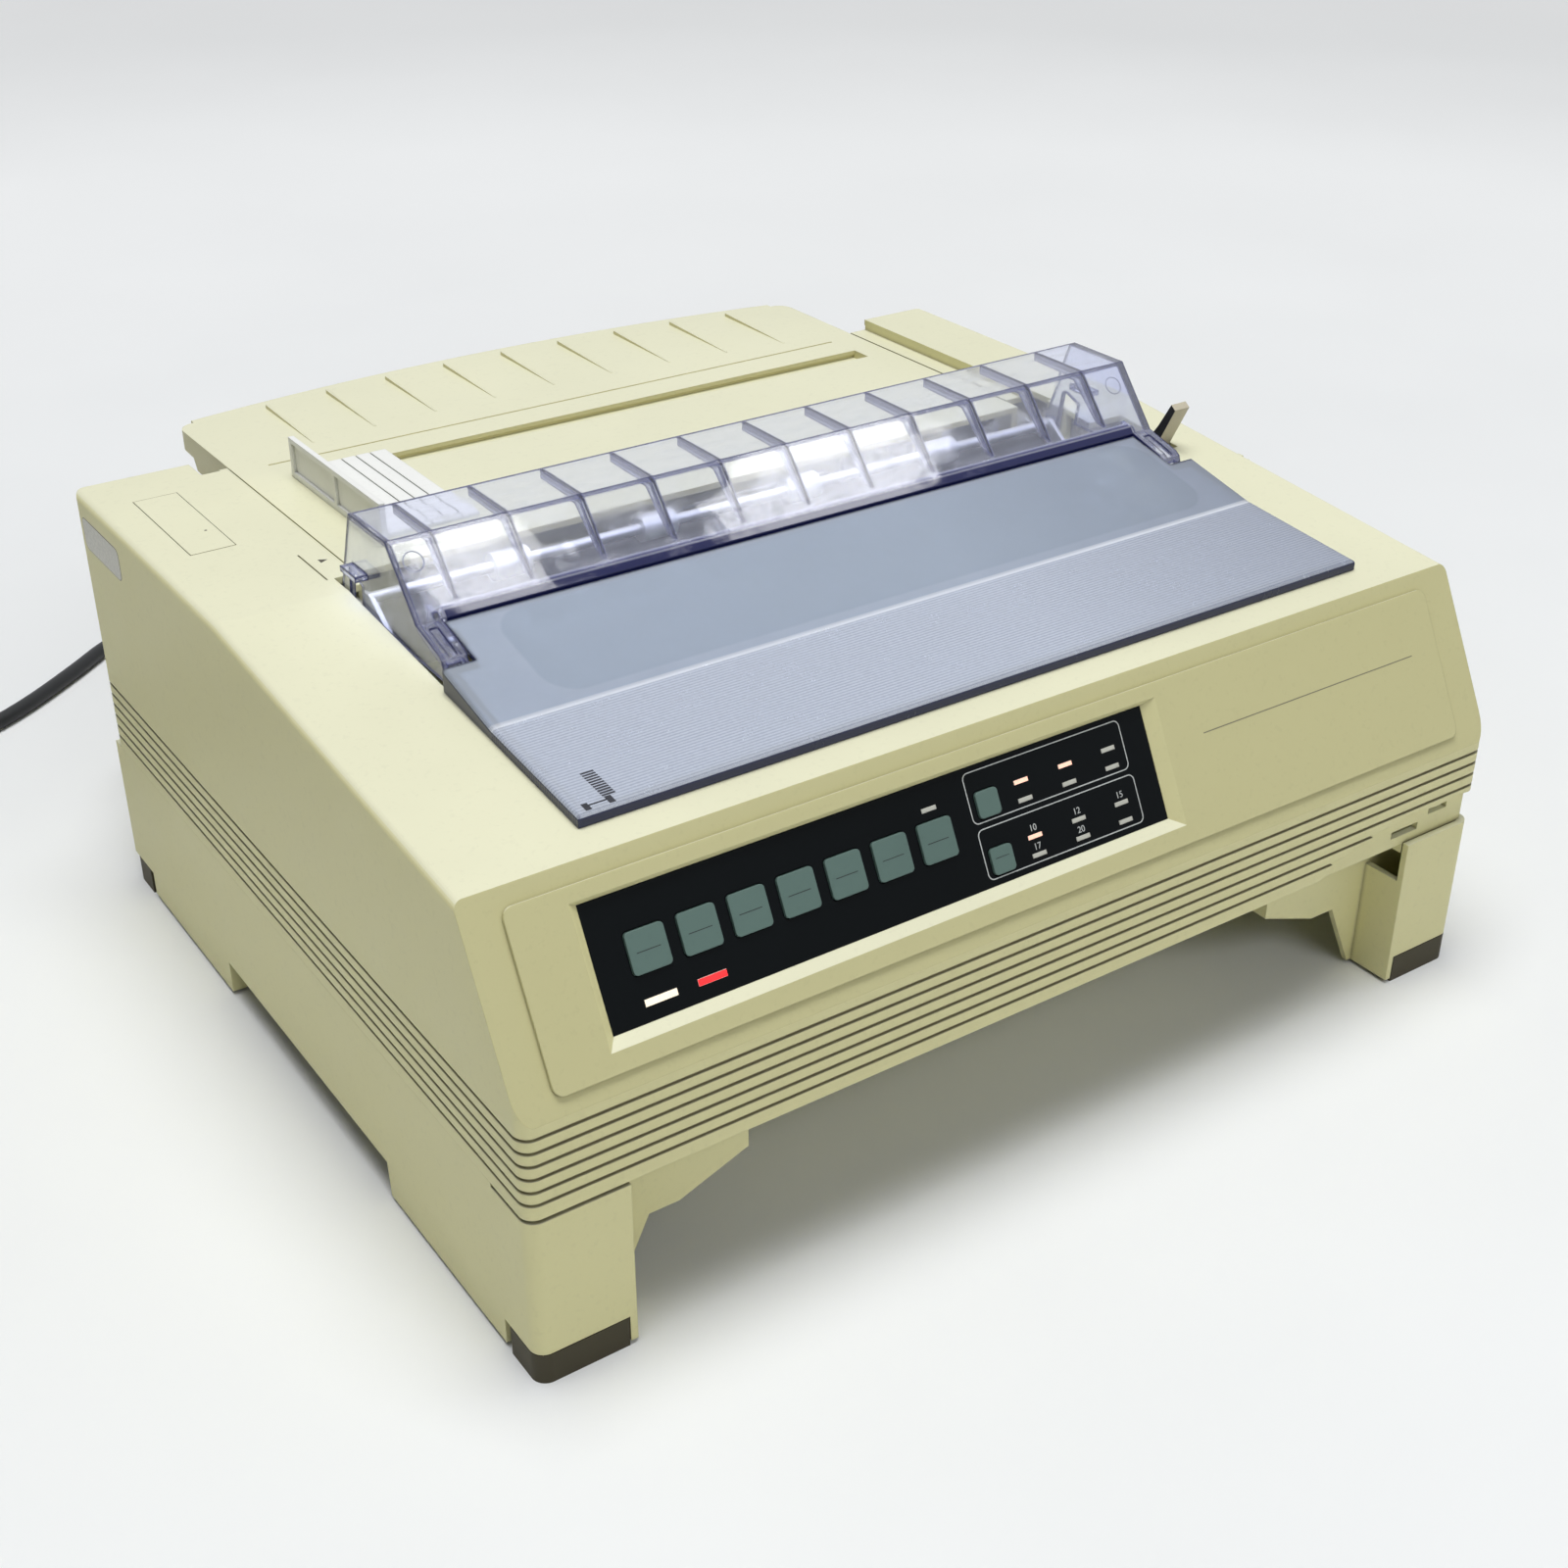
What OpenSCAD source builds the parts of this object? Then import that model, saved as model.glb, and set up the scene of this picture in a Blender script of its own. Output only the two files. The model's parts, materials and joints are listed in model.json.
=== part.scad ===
// Desktop dot matrix printer with a clear hinged top cover, standing on four corner legs.
// Frame: +X to the operator's right, +Y to the rear, +Z up, origin under the middle at the base.
// Inside the modules x is measured from the middle of the case and y from its front face.

/* [Case] */
// Width of the case over its side walls
case_width = 398; // [360:1:440]
// Depth of the case from front face to rear wall
case_depth = 341; // [320:1:380]
// Height of the flat rear deck
case_height = 170; // [160:1:190]
// Height of the joint between upper and lower case
seam_height = 63; // [58:1:68]
// Wall thickness of both cases
wall = 2.5; // [2:0.1:3]
// Radius of the upright corners
corner_radius = 5; // [3:0.5:9]
// Radius of the top side edges
edge_radius = 3; // [1.5:0.5:5]
// Width of the deck left of the top cover
deck_left = 48.5; // [42:0.5:60]
// Width of the deck right of the top cover
deck_right = 36.5; // [36:0.5:50]

/* [Deck and front face] */
// Distance from the front at which the deck starts to slope down
bend_setback = 200; // [190:1:206]
// Height of the front edge of the sloping deck
front_edge_height = 154.5; // [148:0.5:158]
// Distance of that edge behind the front face
front_edge_setback = 31; // [26:1:36]
// Height at which the slanted front face starts
slant_height = 95.5; // [95:0.5:99]
// Depth of the sunk middle of the rear deck
recess_depth = 4.5; // [3:0.5:6]

/* [Stripes] */
// Spacing of the stripes around front and sides
stripe_pitch = 4.64; // [4.3:0.05:4.9]
// Height of one stripe groove
stripe_height = 1.3; // [0.8:0.1:1.6]
// Depth of one stripe groove
stripe_depth = 1.1; // [0.6:0.1:1.4]

/* [Legs] */
// Width of a front leg
leg_width = 34; // [28:1:40]
// Height of the brown foot pads
pad_height = 11; // [8:1:14]
// Depth of the brown foot pads
pad_deep = 17; // [12:0.5:17]
// Height of the arch under the side walls
arch_height = 15; // [12:1:24]
// Gap between side walls and table
skirt_gap = 1.6; // [1:0.2:3]

/* [Control panel] */
// Width of a large key
key_size = 12.8; // [11:0.2:14]
// Spacing of the large keys
key_pitch = 17.3; // [16:0.1:17.6]
// How far a key stands proud of the panel
key_height = 0.8; // [0.6:0.1:1.2]

/* [Covers] */
// Height of the clear top cover over the table
cover_height = 199; // [190:1:206]
// Wall of the clear covers
cover_wall = 2; // [1.6:0.1:2.4]
// Height of the front plate over the deck
plate_height = 4; // [3:0.5:5]
// Reach of the rear sheet support behind the case, at its middle
support_reach = 69.5; // [50:0.5:80]
// Radius of the bowed rear edge of the sheet support
bow_radius = 800; // [500:10:1500]
// Thickness of the rear sheet support
support_thick = 2.5; // [2:0.1:3]

/* [Paper drive] */
// Diameter of the platen roller
platen_diameter = 26; // [24:0.5:27]
// Depth of the platen axis below the rear deck
platen_drop = 24; // [23:0.5:26]
// Gear module of the drive train
gear_module = 1; // [0.9:0.05:1]
// Diameter of the feed knob on the right side
knob_diameter = 34; // [28:1:38]
// Length of the feed knob
knob_length = 13.6; // [10:0.2:18]

/* [Carriage] */
// Diameter of the carriage rail
rail_diameter = 12; // [10:0.5:13]
// Distance of the parked carriage from the middle, to the left
park_offset = 70; // [60:1:90]
// Width of the carriage
carriage_width = 44; // [40:1:50]

/* [Cord] */
// Diameter of the mains cord
cord_diameter = 7.2; // [6.5:0.1:7.4]

/* [Hidden] */
half = case_width / 2;
// running clearance between a pin and its hole, on the radius
run_gap = 0.05;
// clearance between parts that pass each other
pass_gap = 0.4;
// clearance between fixed parts
fit_gap = 0.15;
knob_gap = 0.4;
mid_x = (knob_gap + knob_length) / 2;
mid_y = (case_depth + support_reach) / 2;
slope = (case_height - front_edge_height) / (bend_setback - front_edge_setback);
function deck_z(y) = y > bend_setback ? case_height : case_height - (bend_setback - y) * slope;
slant_rise = front_edge_height - slant_height;
slant_angle = atan2(slant_rise, front_edge_setback);
floor_z = 57;
floor_top = floor_z + wall;
recess_z = case_height - recess_depth;
// middle of the mechanism and of the covers lies a little right of the case middle
cover_mid = (deck_left - deck_right) / 2;
hump_x1 = deck_left - half;
hump_x2 = half - deck_right;
cover_gap = 0.8;
open_left = hump_x1 - cover_gap;
open_right = hump_x2 + cover_gap;
open_front = 50;
open_rear = 212;
hump_rear = 208;
recess_left = hump_x1 + 6.8;
recess_right = hump_x2 + 3.5;
support_left = hump_x1 + 11.5;
support_right = hump_x2 - 5.5;
support_front = 222;
support_rear = case_depth + support_reach;
support_top = recess_z;
support_pivot_y = 226;
support_pivot_z = support_top - 7.5;
bow_mid = cover_mid - 3;
function bow_y(x) = support_rear - bow_radius + sqrt(pow(bow_radius, 2) - pow(x - bow_mid, 2));
support_side = bow_y(support_left);
frame_left = hump_x1 + 5.5;
frame_right = hump_x2 - 5;
frame_thick = 1.5;
pan_z = floor_top;
pan_thick = 1.5;
frame_z = pan_z + pan_thick;
platen_y = 208;
platen_height = case_height - platen_drop;
platen_r = platen_diameter / 2;
platen_left = frame_left + frame_thick + 3;
platen_right = frame_right - 3;
platen_shaft_r = 4;
gear_x = frame_right + frame_thick + 8.5;
gear_wide = 6;
// tooth counts of the drive train
teeth_platen = 40;
teeth_idler = 26;
teeth_knob = 30;
teeth_step = 20;
teeth_pinion = 12;
teeth_tractor = 30;
pitch_k = gear_module / 2;
train_angle = 186.5;
function at_y(r, a) = platen_y + r * cos(a);
function at_z(r, a) = platen_height + r * sin(a);
idler_r = (teeth_platen + teeth_idler) * pitch_k;
knob_r = (teeth_platen + 2 * teeth_idler + teeth_knob) * pitch_k;
knob_y = at_y(knob_r, train_angle);
knob_z = at_z(knob_r, train_angle);
step_angle = train_angle - 22 * 360 / teeth_platen;
step_r = (teeth_platen + teeth_step) * pitch_k;
tractor_r = (teeth_platen + 2 * teeth_step + teeth_tractor) * pitch_k;
tractor_y = at_y(tractor_r, step_angle);
tractor_z = at_z(tractor_r, step_angle);
pinion_angle = train_angle - 27 * 360 / teeth_platen;
pinion_r = (teeth_platen + teeth_pinion) * pitch_k;
pinion_y = at_y(pinion_r, pinion_angle);
pinion_z = at_z(pinion_r, pinion_angle);
rail_y = 150;
rail_z = platen_height - 24;
rail_r = rail_diameter / 2;
guide_y = 112;
guide_z = platen_height - 20;
belt_y = 131;
belt_z = platen_height - 22;
belt_high = 4;
pulley_r = 7;
belt_thick = 1.2;
pulley_shaft_r = 2.5;
pulley_left = frame_left + 25;
pulley_right = frame_right - 17.5;
carriage_x = pulley_left + 120 - park_offset;
// underside of the ribbon cartridge
ribbon_z = platen_height + 1;
hump_pivot_y = hump_rear - 2;
hump_pivot_z = recess_z - 2.5;
hump_pin_r = 2.2;
ridge_y = 167.5;
crest_rear_y = 195.5;
face_foot_y = 149;
// height at a share of the cover's rise over the deck
function up(share) = case_height + share * (cover_height - case_height);
face_foot_z = up(0.2414);
arm_front_y = 131;
plate_pivot_y = face_foot_y - 7.5;
plate_pivot_z = face_foot_z - 5.5;
plate_pin_r = 1.8;
bail_pivot_y = 186;
bail_pivot_z = platen_height + 4;
bail_rod_y = 203.3;
bail_rod_z = platen_height + 17.7;
lever_x1 = gear_x + gear_wide + 0.7;
lever_x2 = lever_x1 + 4.8;
motor_top = belt_z - 25.5;
board_lift = 8;
board_x1 = frame_left + 61;
board_x2 = frame_right - 33.5;
board_y1 = 64;
board_y2 = 276;
lever_pivot_y = 166;
lever_pivot_z = platen_height - 6;
switch_x = 27 - half;
switch_y = case_depth - 3;
switch_z = 133;
switch_w = 12;
switch_h = 9;
cord_exit_x = 27 - half;
cord_exit_z = 106;
gland_r = 7.1;
socket_mid = 103;
socket_z = 94;
// place of a row of floor slots
vent_x = -60;
vent_pitch = 14;

module place() {
    translate([-mid_x, -mid_y, 0]) children();
}

// a profile drawn as [y, z] and pulled along X from x1 to x2
module along_x(x1, x2) {
    translate([x1, 0, 0]) rotate([90, 0, 90]) linear_extrude(x2 - x1) children();
}

// a profile drawn as [x, z] and pulled along Y from y1 to y2
module along_y(y1, y2) {
    translate([0, y2, 0]) rotate([90, 0, 0]) linear_extrude(y2 - y1) children();
}

module box(x1, x2, y1, y2, z1, z2) {
    translate([x1, y1, z1]) cube([x2 - x1, y2 - y1, z2 - z1]);
}

module pin_x(x1, x2, y, z, r) {
    translate([x1, y, z]) rotate([0, 90, 0]) cylinder(h = x2 - x1, r = r, $fn = 48);
}

module round_rect(x1, x2, y1, y2, r) {
    translate([x1 + r, y1]) square([x2 - x1 - 2 * r, y2 - y1]);
    translate([x1, y1 + r]) square([x2 - x1, y2 - y1 - 2 * r]);
    translate([x1 + r, y1 + r]) circle(r, $fn = 32);
    translate([x2 - r, y1 + r]) circle(r, $fn = 32);
    translate([x1 + r, y2 - r]) circle(r, $fn = 32);
    translate([x2 - r, y2 - r]) circle(r, $fn = 32);
}

// local axes of the slanted face: x across, y up the slant, z out of it
module on_slant() {
    translate([0, 0, slant_height]) rotate([slant_angle, 0, 0]) children();
}

// a gear in the y-z plane with one tooth centred at the given angle
module gear(teeth, phase, x1, x2, y, z, bore) {
    r = teeth * pitch_k;
    q = 360 / teeth;
    pts = [for (i = [0 : teeth - 1]) let (a = phase + i * q) each [
        [(r - 1.15 * gear_module) * cos(a - 0.30 * q), (r - 1.15 * gear_module) * sin(a - 0.30 * q)],
        [(r + 0.75 * gear_module) * cos(a - 0.10 * q), (r + 0.75 * gear_module) * sin(a - 0.10 * q)],
        [(r + 0.75 * gear_module) * cos(a + 0.10 * q), (r + 0.75 * gear_module) * sin(a + 0.10 * q)],
        [(r - 1.15 * gear_module) * cos(a + 0.30 * q), (r - 1.15 * gear_module) * sin(a + 0.30 * q)]]];
    translate([0, y, z]) difference() {
        along_x(x1, x2) polygon(pts);
        pin_x(x1 - 1, x2 + 1, 0, 0, bore);
    }
}

// ---------------------------------------------------------------- lower case

skirt_rear = case_depth + 2;
arch_front = 102;
arch_rear = 240;
bracket_x1 = half - leg_width;
bracket_y = pad_deep + 0.5;
leg_low = 45;

// screw posts under the floor
post_x = 110;
post_y = [60, 280];

module floor_slots(z1, z2) {
    for (i = [0 : 9])
        box(vent_x + i * vent_pitch, vent_x + 6 + i * vent_pitch, 90, 180, z1, z2);
}

module side_wall_profile() {
    polygon([[0, pad_height + 0.4], [20.5, pad_height + 0.4], [20.5, skirt_gap], [arch_front - 1, skirt_gap],
        [arch_front, arch_height], [arch_rear, arch_height], [arch_rear, skirt_gap],
        [skirt_rear - 20.5, skirt_gap], [skirt_rear - 20.5, pad_height + 0.4],
        [skirt_rear, pad_height + 0.4], [skirt_rear, seam_height], [22, seam_height],
        [22, seam_height - 1.5], [0, seam_height - 1.5]]);
}

module lower_case() {
    color([0.80, 0.78, 0.62]) place() {
        difference() {
            union() {
                // side walls, cut to the rounded plan of the case
                intersection() {
                    union() {
                        along_x(-half, -half + wall) side_wall_profile();
                        along_x(half - wall, half) side_wall_profile();
                        // front faces of the legs
                        for (s = [-1, 1]) {
                            box(s > 0 ? half - leg_width : -half, s > 0 ? half : -half + leg_width,
                                0, wall, pad_height + 0.4, seam_height - 1.5);
                            box(s > 0 ? half - corner_radius : -half, s > 0 ? half : -half + corner_radius,
                                0, corner_radius, pad_height + 0.4, seam_height - 1.5);
                        }
                    }
                    linear_extrude(seam_height) round_rect(-half, half, 0, skirt_rear + 20, corner_radius);
                }
                for (s = [-1, 1]) {
                    out1 = s > 0 ? half - leg_width : -half + wall - 0.2;
                    out2 = s > 0 ? half - wall + 0.2 : -half + leg_width;
                    // inner side walls of the legs
                    along_x(s > 0 ? bracket_x1 : -bracket_x1 - wall, s > 0 ? bracket_x1 + wall : -bracket_x1)
                        polygon([[0, skirt_gap], [bracket_y, skirt_gap], [bracket_y, leg_low], [wall, leg_low],
                            [wall, seam_height - 1.5], [0, seam_height - 1.5]]);
                    // cross wall behind the leg and the bracket beside it
                    along_y(bracket_y, bracket_y + wall) polygon([[s * (half - wall + 0.2), pad_height + 0.4],
                        [s * (bracket_x1 + wall), pad_height + 0.4], [s * (bracket_x1 + wall), skirt_gap],
                        [s * (bracket_x1 - 2), skirt_gap], [s * (bracket_x1 - 15.4), 30], [s * (bracket_x1 - 26.4), 30],
                        [s * (bracket_x1 - 52), 39.5], [s * (bracket_x1 - 52), floor_z + 1],
                        [s * (half - wall + 0.2), floor_z + 1]]);
                    // end of the bracket
                    box(s > 0 ? bracket_x1 - 52 : 52 - bracket_x1 - wall, s > 0 ? bracket_x1 - 52 + wall : 52 - bracket_x1,
                        bracket_y, bracket_y + 24, 39.5, floor_z + 1);
                    // seats of the pads
                    box(out1, out2, 1, bracket_y + wall, pad_height, pad_height + wall);
                    box(out1, out2, skirt_rear - 30, skirt_rear, pad_height, pad_height + wall);
                    box(out1, out2, skirt_rear - 20.5 - wall, skirt_rear - 20.5, skirt_gap, floor_z + 1);
                    box(out1, out2, arch_rear, arch_rear + wall, skirt_gap, floor_z + 1);
                }
                // floor of the machine
                box(-half + wall - 0.2, half - wall + 0.2, 4, skirt_rear - 1, floor_z, floor_top);
                // rear wall
                box(-half + wall - 0.2, half - wall + 0.2, case_depth - wall, skirt_rear, pad_height, seam_height);
                // ribs that carry the front lip
                for (i = [-2 : 2])
                    box(i * 60 - 1, i * 60 + 1, 2 * wall, bracket_y + 6, seam_height - 2.2, seam_height + 5);
                for (i = [-2 : 2])
                    box(i * 60 - 1, i * 60 + 1, bracket_y, bracket_y + 6, floor_z, seam_height);
                // lip inside the upper case
                difference() {
                    box(-half + wall + 0.5, half - wall - 0.5, wall + 0.5, case_depth - wall - 0.5, floor_z, seam_height + 13);
                    box(-half + 2 * wall + 0.5, half - 2 * wall - 0.5, 2 * wall + 0.5, case_depth - 2 * wall - 0.5,
                        floor_z - 1, seam_height + 14);
                    // slots of the snap catches
                    for (s = [-1, 1]) {
                        box(s * (half - 17) - 5, s * (half - 17) + 5, 0, 10, seam_height + 6.5, seam_height + 10.5);
                        box(s * (half - 34) - 7, s * (half - 34) + 7, 0, 10, seam_height + 2, seam_height + 5);
                    }
                    // windows for the cord, the switch and the socket
                    box(cord_exit_x - 18, cord_exit_x + 22, case_depth - 12, case_depth, seam_height + 1, seam_height + 14);
                    box(vent_x - 60, socket_mid + 37, case_depth - 12, case_depth, seam_height + 1, seam_height + 14);
                }
                // screw posts under the floor
                for (x = [-post_x, post_x], y = post_y)
                    translate([x, y, floor_z - 12]) cylinder(h = 12.5, d = 9, $fn = 32);
            }
            // screw holes in the posts
            for (x = [-post_x, post_x], y = post_y)
                translate([x, y, floor_z - 13]) cylinder(h = 11, d = 5, $fn = 24);
            // ventilation slots through the floor
            floor_slots(floor_z - 1, floor_top + 1);
            // open space behind the front walls of the legs and below the front lip
            for (s = [-1, 1])
                box(s > 0 ? bracket_x1 + wall : wall - half, s > 0 ? half - wall : -bracket_x1 - wall,
                    wall, bracket_y, leg_low, seam_height - 2);
            box(-bracket_x1, bracket_x1, wall, bracket_y, leg_low, seam_height - 2);
        }
    }
}

module foot_pad(s, front) {
    y1 = front ? 0 : skirt_rear - pad_deep;
    color([0.30, 0.26, 0.17]) place() intersection() {
        box(s > 0 ? bracket_x1 + wall + 0.4 : -half, s > 0 ? half : -bracket_x1 - wall - 0.4,
            y1, y1 + pad_deep, 0, pad_height);
        linear_extrude(pad_height) round_rect(-half, half, 0, skirt_rear, corner_radius);
    }
}
module foot_front_left() foot_pad(-1, true);
module foot_front_right() foot_pad(1, true);
module foot_rear_left() foot_pad(-1, false);
module foot_rear_right() foot_pad(1, false);

// ---------------------------------------------------------------- upper case

module case_profile(g) {
    // outer profile for g = 0, inner profile, open at the rear, for g = wall
    e = g > 0 ? 1 : 0;
    polygon([[g, seam_height - e], [case_depth + e, seam_height - e],
        [case_depth + e, case_height - g], [bend_setback + g * slope / 2, case_height - g],
        [front_edge_setback + g * 0.62, front_edge_height - g * 1.06],
        [g, slant_height - g * 0.24]]);
}

// material outside a rounded long edge, on the left for s = -1
module edge_bar(s, y1, y2) {
    r = edge_radius;
    along_y(y1, y2) polygon(concat([for (a = [0 : 15 : 90]) [s * (half - r + r * cos(a)), r * sin(a) - r]],
        [[s * (half - r), 2], [s * (half + 2), 2], [s * (half + 2), -r]]));
}

panel_x1 = 35 - half;
panel_x2 = panel_x1 + 211.3;
panel_u1 = 15.6;
panel_u2 = 54.4;
panel_sink = -1;
plate_raise = 1.2;

module panel_opening() {
    // bevelled sides, then straight through
    intersection() {
        along_y(0, panel_u2 + 20) polygon([
            [panel_x1, panel_sink], [panel_x2, panel_sink], [panel_x2 + 11.8, 4], [panel_x1 - 6.8, 4]]);
        along_x(-half, half) polygon([
            [panel_u1, panel_sink], [panel_u2, panel_sink], [panel_u2 + 2.8, 4], [panel_u1 - 8.6, 4]]);
    }
    translate([panel_x1, panel_u1, -8]) cube([panel_x2 - panel_x1, panel_u2 - panel_u1, 8 + panel_sink + 0.01]);
}

// missing corner of the lower stripes at the right
module break_cut() {
    p = stripe_pitch;
    z0 = seam_height;
    along_y(-1, wall + 0.2) polygon([[half - 81, z0 - 1], [half - 75, z0 + p], [half - 60, z0 + 1.9 * p],
        [half - 55.5, z0 + 2 * p], [half - 43, z0 + 2.35 * p], [half - 36, z0 + 2.7 * p],
        [half - 22, z0 + 2.45 * p], [half - 12, z0 + 2.65 * p], [half + 1, z0 + 2.5 * p], [half + 1, z0 - 1]]);
    along_x(half - wall - 0.2, half + 1) polygon([[-1, z0 - 1], [-1, z0 + 2.55 * p], [9, z0 + 2.5 * p],
        [13, z0 + 1.7 * p], [15, z0 + 0.9 * p], [19, z0 - 1]]);
}

module upper_case() {
    color([0.89, 0.88, 0.76]) place() difference() {
        union() {
            difference() {
                intersection() {
                    along_x(-half, half) case_profile(0);
                    translate([0, 0, seam_height]) linear_extrude(case_height)
                        round_rect(-half, half, 0, case_depth, corner_radius);
                }
                along_x(-half + wall, half - wall) case_profile(wall);
                // rounded side edges of deck and slope
                for (s = [-1, 1]) {
                    translate([0, 0, case_height]) edge_bar(s, bend_setback, case_depth + 1);
                    translate([0, bend_setback, case_height]) rotate([atan(slope), 0, 0])
                        edge_bar(s, -bend_setback, 0);
                }
            }
            // raised field on the slanted face
            on_slant() translate([0, 0, -0.5]) linear_extrude(plate_raise + 0.5)
                round_rect(-half + 12.5, half - 14.5, 5.5, 60.5, 3.5);
            // frame around the panel opening keeps the wall thick there
            on_slant() translate([panel_x1 - 7, panel_u1 - 6, -wall - 0.6])
                cube([panel_x2 - panel_x1 + 14, panel_u2 - panel_u1 + 9, 2]);
            // walls and floor strips of the sunk rear deck
            box(recess_left - wall, support_left - 0.5, open_rear, case_depth - 0.5, recess_z - wall, case_height - 0.5);
            box(support_right + 0.8, recess_right + wall, open_rear, case_depth - 0.5, recess_z - wall, case_height - 0.5);
            // bosses for the pivots of the top cover
            for (x = [open_left - 3, open_right])
                box(x, x + 3, hump_pivot_y - 7, hump_pivot_y + 7, hump_pivot_z - 7, case_height - 1);
        }
        // opening over the mechanism
        box(open_left + 6, open_right - 6, open_front, open_rear, seam_height + 60, case_height + 1);
        box(open_left, open_right, 112, open_rear, seam_height + 60, case_height + 1);
        // sunk middle of the rear deck
        box(recess_left, recess_right, open_rear - 1, case_depth + 1, recess_z, case_height + 1);
        // room for the large platen gear beside the recess
        box(support_right - 1, gear_x + gear_wide + 1, open_rear - 1, platen_y + pitch_k * teeth_platen + 3,
            recess_z - 12, platen_height + pitch_k * teeth_platen + 1.4);
        box(hump_x1 - 3.5, recess_left + 1, case_depth - 13, case_depth + 1, recess_z - 20, case_height + 1);
        // opening of the sheet support
        support_opening();
        // stripes
        for (i = [0 : 5])
            translate([0, 0, seam_height + 5.35 - stripe_height / 2 + i * stripe_pitch])
                linear_extrude(stripe_height) difference() {
                    translate([-half - 5, -5]) square([case_width + 10, case_depth + 10]);
                    round_rect(-half + stripe_depth, half - stripe_depth, stripe_depth, case_depth + 20,
                        corner_radius - stripe_depth);
                }
        on_slant() panel_opening();
        break_cut();
        // shallow seat of the cover over the option slot
        box(knockout_x - fit_gap - 0.1, knockout_x + knockout_wide + fit_gap + 0.1, 257.6, 316.4, case_height - 1, case_height + 1);
        // scored line beside the top cover
        box(hump_x1 - 3.5, hump_x1 - 2.9, open_rear, open_rear + 25, case_height - 0.5, case_height + 1);
        // notch for the release lever
        box(open_right - 1, lever_x2 + 1, 150.5, 184, case_height - 20, case_height + 1);
        // hole of the knob shaft
        pin_x(half - wall - 1, half + 1, knob_y, knob_z, 5);
        // pivot holes of the top cover
        pin_x(open_left - 5, open_left + 1, hump_pivot_y, hump_pivot_z, hump_pin_r + run_gap);
        pin_x(open_right - 1, open_right + 5, hump_pivot_y, hump_pivot_z, hump_pin_r + run_gap);
    }
}

module support_opening() {
    box(support_left - 0.5, support_right + 0.8, open_rear - 1, case_depth + 1, recess_z - 15.5, case_height + 1);
}

module rear_panel() {
    color([0.86, 0.85, 0.73]) place() difference() {
        box(wall - half + fit_gap, half - wall - fit_gap, case_depth - wall, case_depth, seam_height + fit_gap,
            case_height - wall - fit_gap);
        box(recess_left - wall - fit_gap, recess_right + wall + fit_gap, case_depth - 5, case_depth + 1,
            recess_z - wall - fit_gap, case_height);
        box(hump_x1 - 3.5, recess_left, case_depth - 5, case_depth + 1, recess_z - 20, case_height);
        support_opening();
        // cord gland, switch, interface socket
        translate([cord_exit_x, case_depth + 1, cord_exit_z]) rotate([90, 0, 0]) cylinder(h = 8, r = gland_r + 0.1, $fn = 40);
        box(switch_x - switch_w, switch_x + switch_w, case_depth - 5, case_depth + 1, switch_z - switch_h, switch_z + switch_h);
        box(socket_mid - 33, socket_mid + 33, case_depth - 5, case_depth + 1, socket_z - 10, socket_z + 10);
        // ventilation slots
        for (i = [0 : 11])
            box(vent_x + i * 10, vent_x + 5 + i * 10, case_depth - 5, case_depth + 1, cord_exit_z + 4, cord_exit_z + 32);
    }
}

knockout_x = 14.7 - half;
knockout_wide = 16.3;
module knockout_cover() {
    color([0.89, 0.88, 0.76]) place()
        box(knockout_x, knockout_x + knockout_wide, 257.9, 316.1, case_height - 1, case_height + 0.05);
}

// ---------------------------------------------------------------- control panel

key_x = [for (i = [0 : 6]) panel_x1 + 17.5 + i * key_pitch];
key_u = 35.9;
small_x = panel_x1 + 143;
small_u = [41.5, 23.1];
small_size = 8.6;

module panel_key(x, u, w) {
    color([0.40, 0.47, 0.45]) place() on_slant() {
        translate([0, 0, panel_sink - 2.2]) linear_extrude(2.2 + key_height)
            round_rect(x - w / 2, x + w / 2, u - w / 2, u + w / 2, 1.4);
        translate([x - 1.5, u - 1.5, panel_sink - 5]) cube([3, 3, 3]);
    }
}
module key_1() panel_key(key_x[0], key_u, key_size);
module key_2() panel_key(key_x[1], key_u, key_size);
module key_3() panel_key(key_x[2], key_u, key_size);
module key_4() panel_key(key_x[3], key_u, key_size);
module key_5() panel_key(key_x[4], key_u, key_size);
module key_6() panel_key(key_x[5], key_u, key_size);
module key_7() panel_key(key_x[6], key_u, key_size);
module key_8() panel_key(small_x, small_u[0], small_size);
module key_9() panel_key(small_x, small_u[1], small_size);

led_at = concat([[key_x[6], key_u + 10]],
    [for (u = [44.4, 38.4, 26.2, 20.2], i = [0 : 2]) [panel_x1 + 157.5 + i * 18.3, u]]);
// lit markers under the first two keys, with their widths
marker_u = 21.2;
marker_wide = [11, 10];

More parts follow.
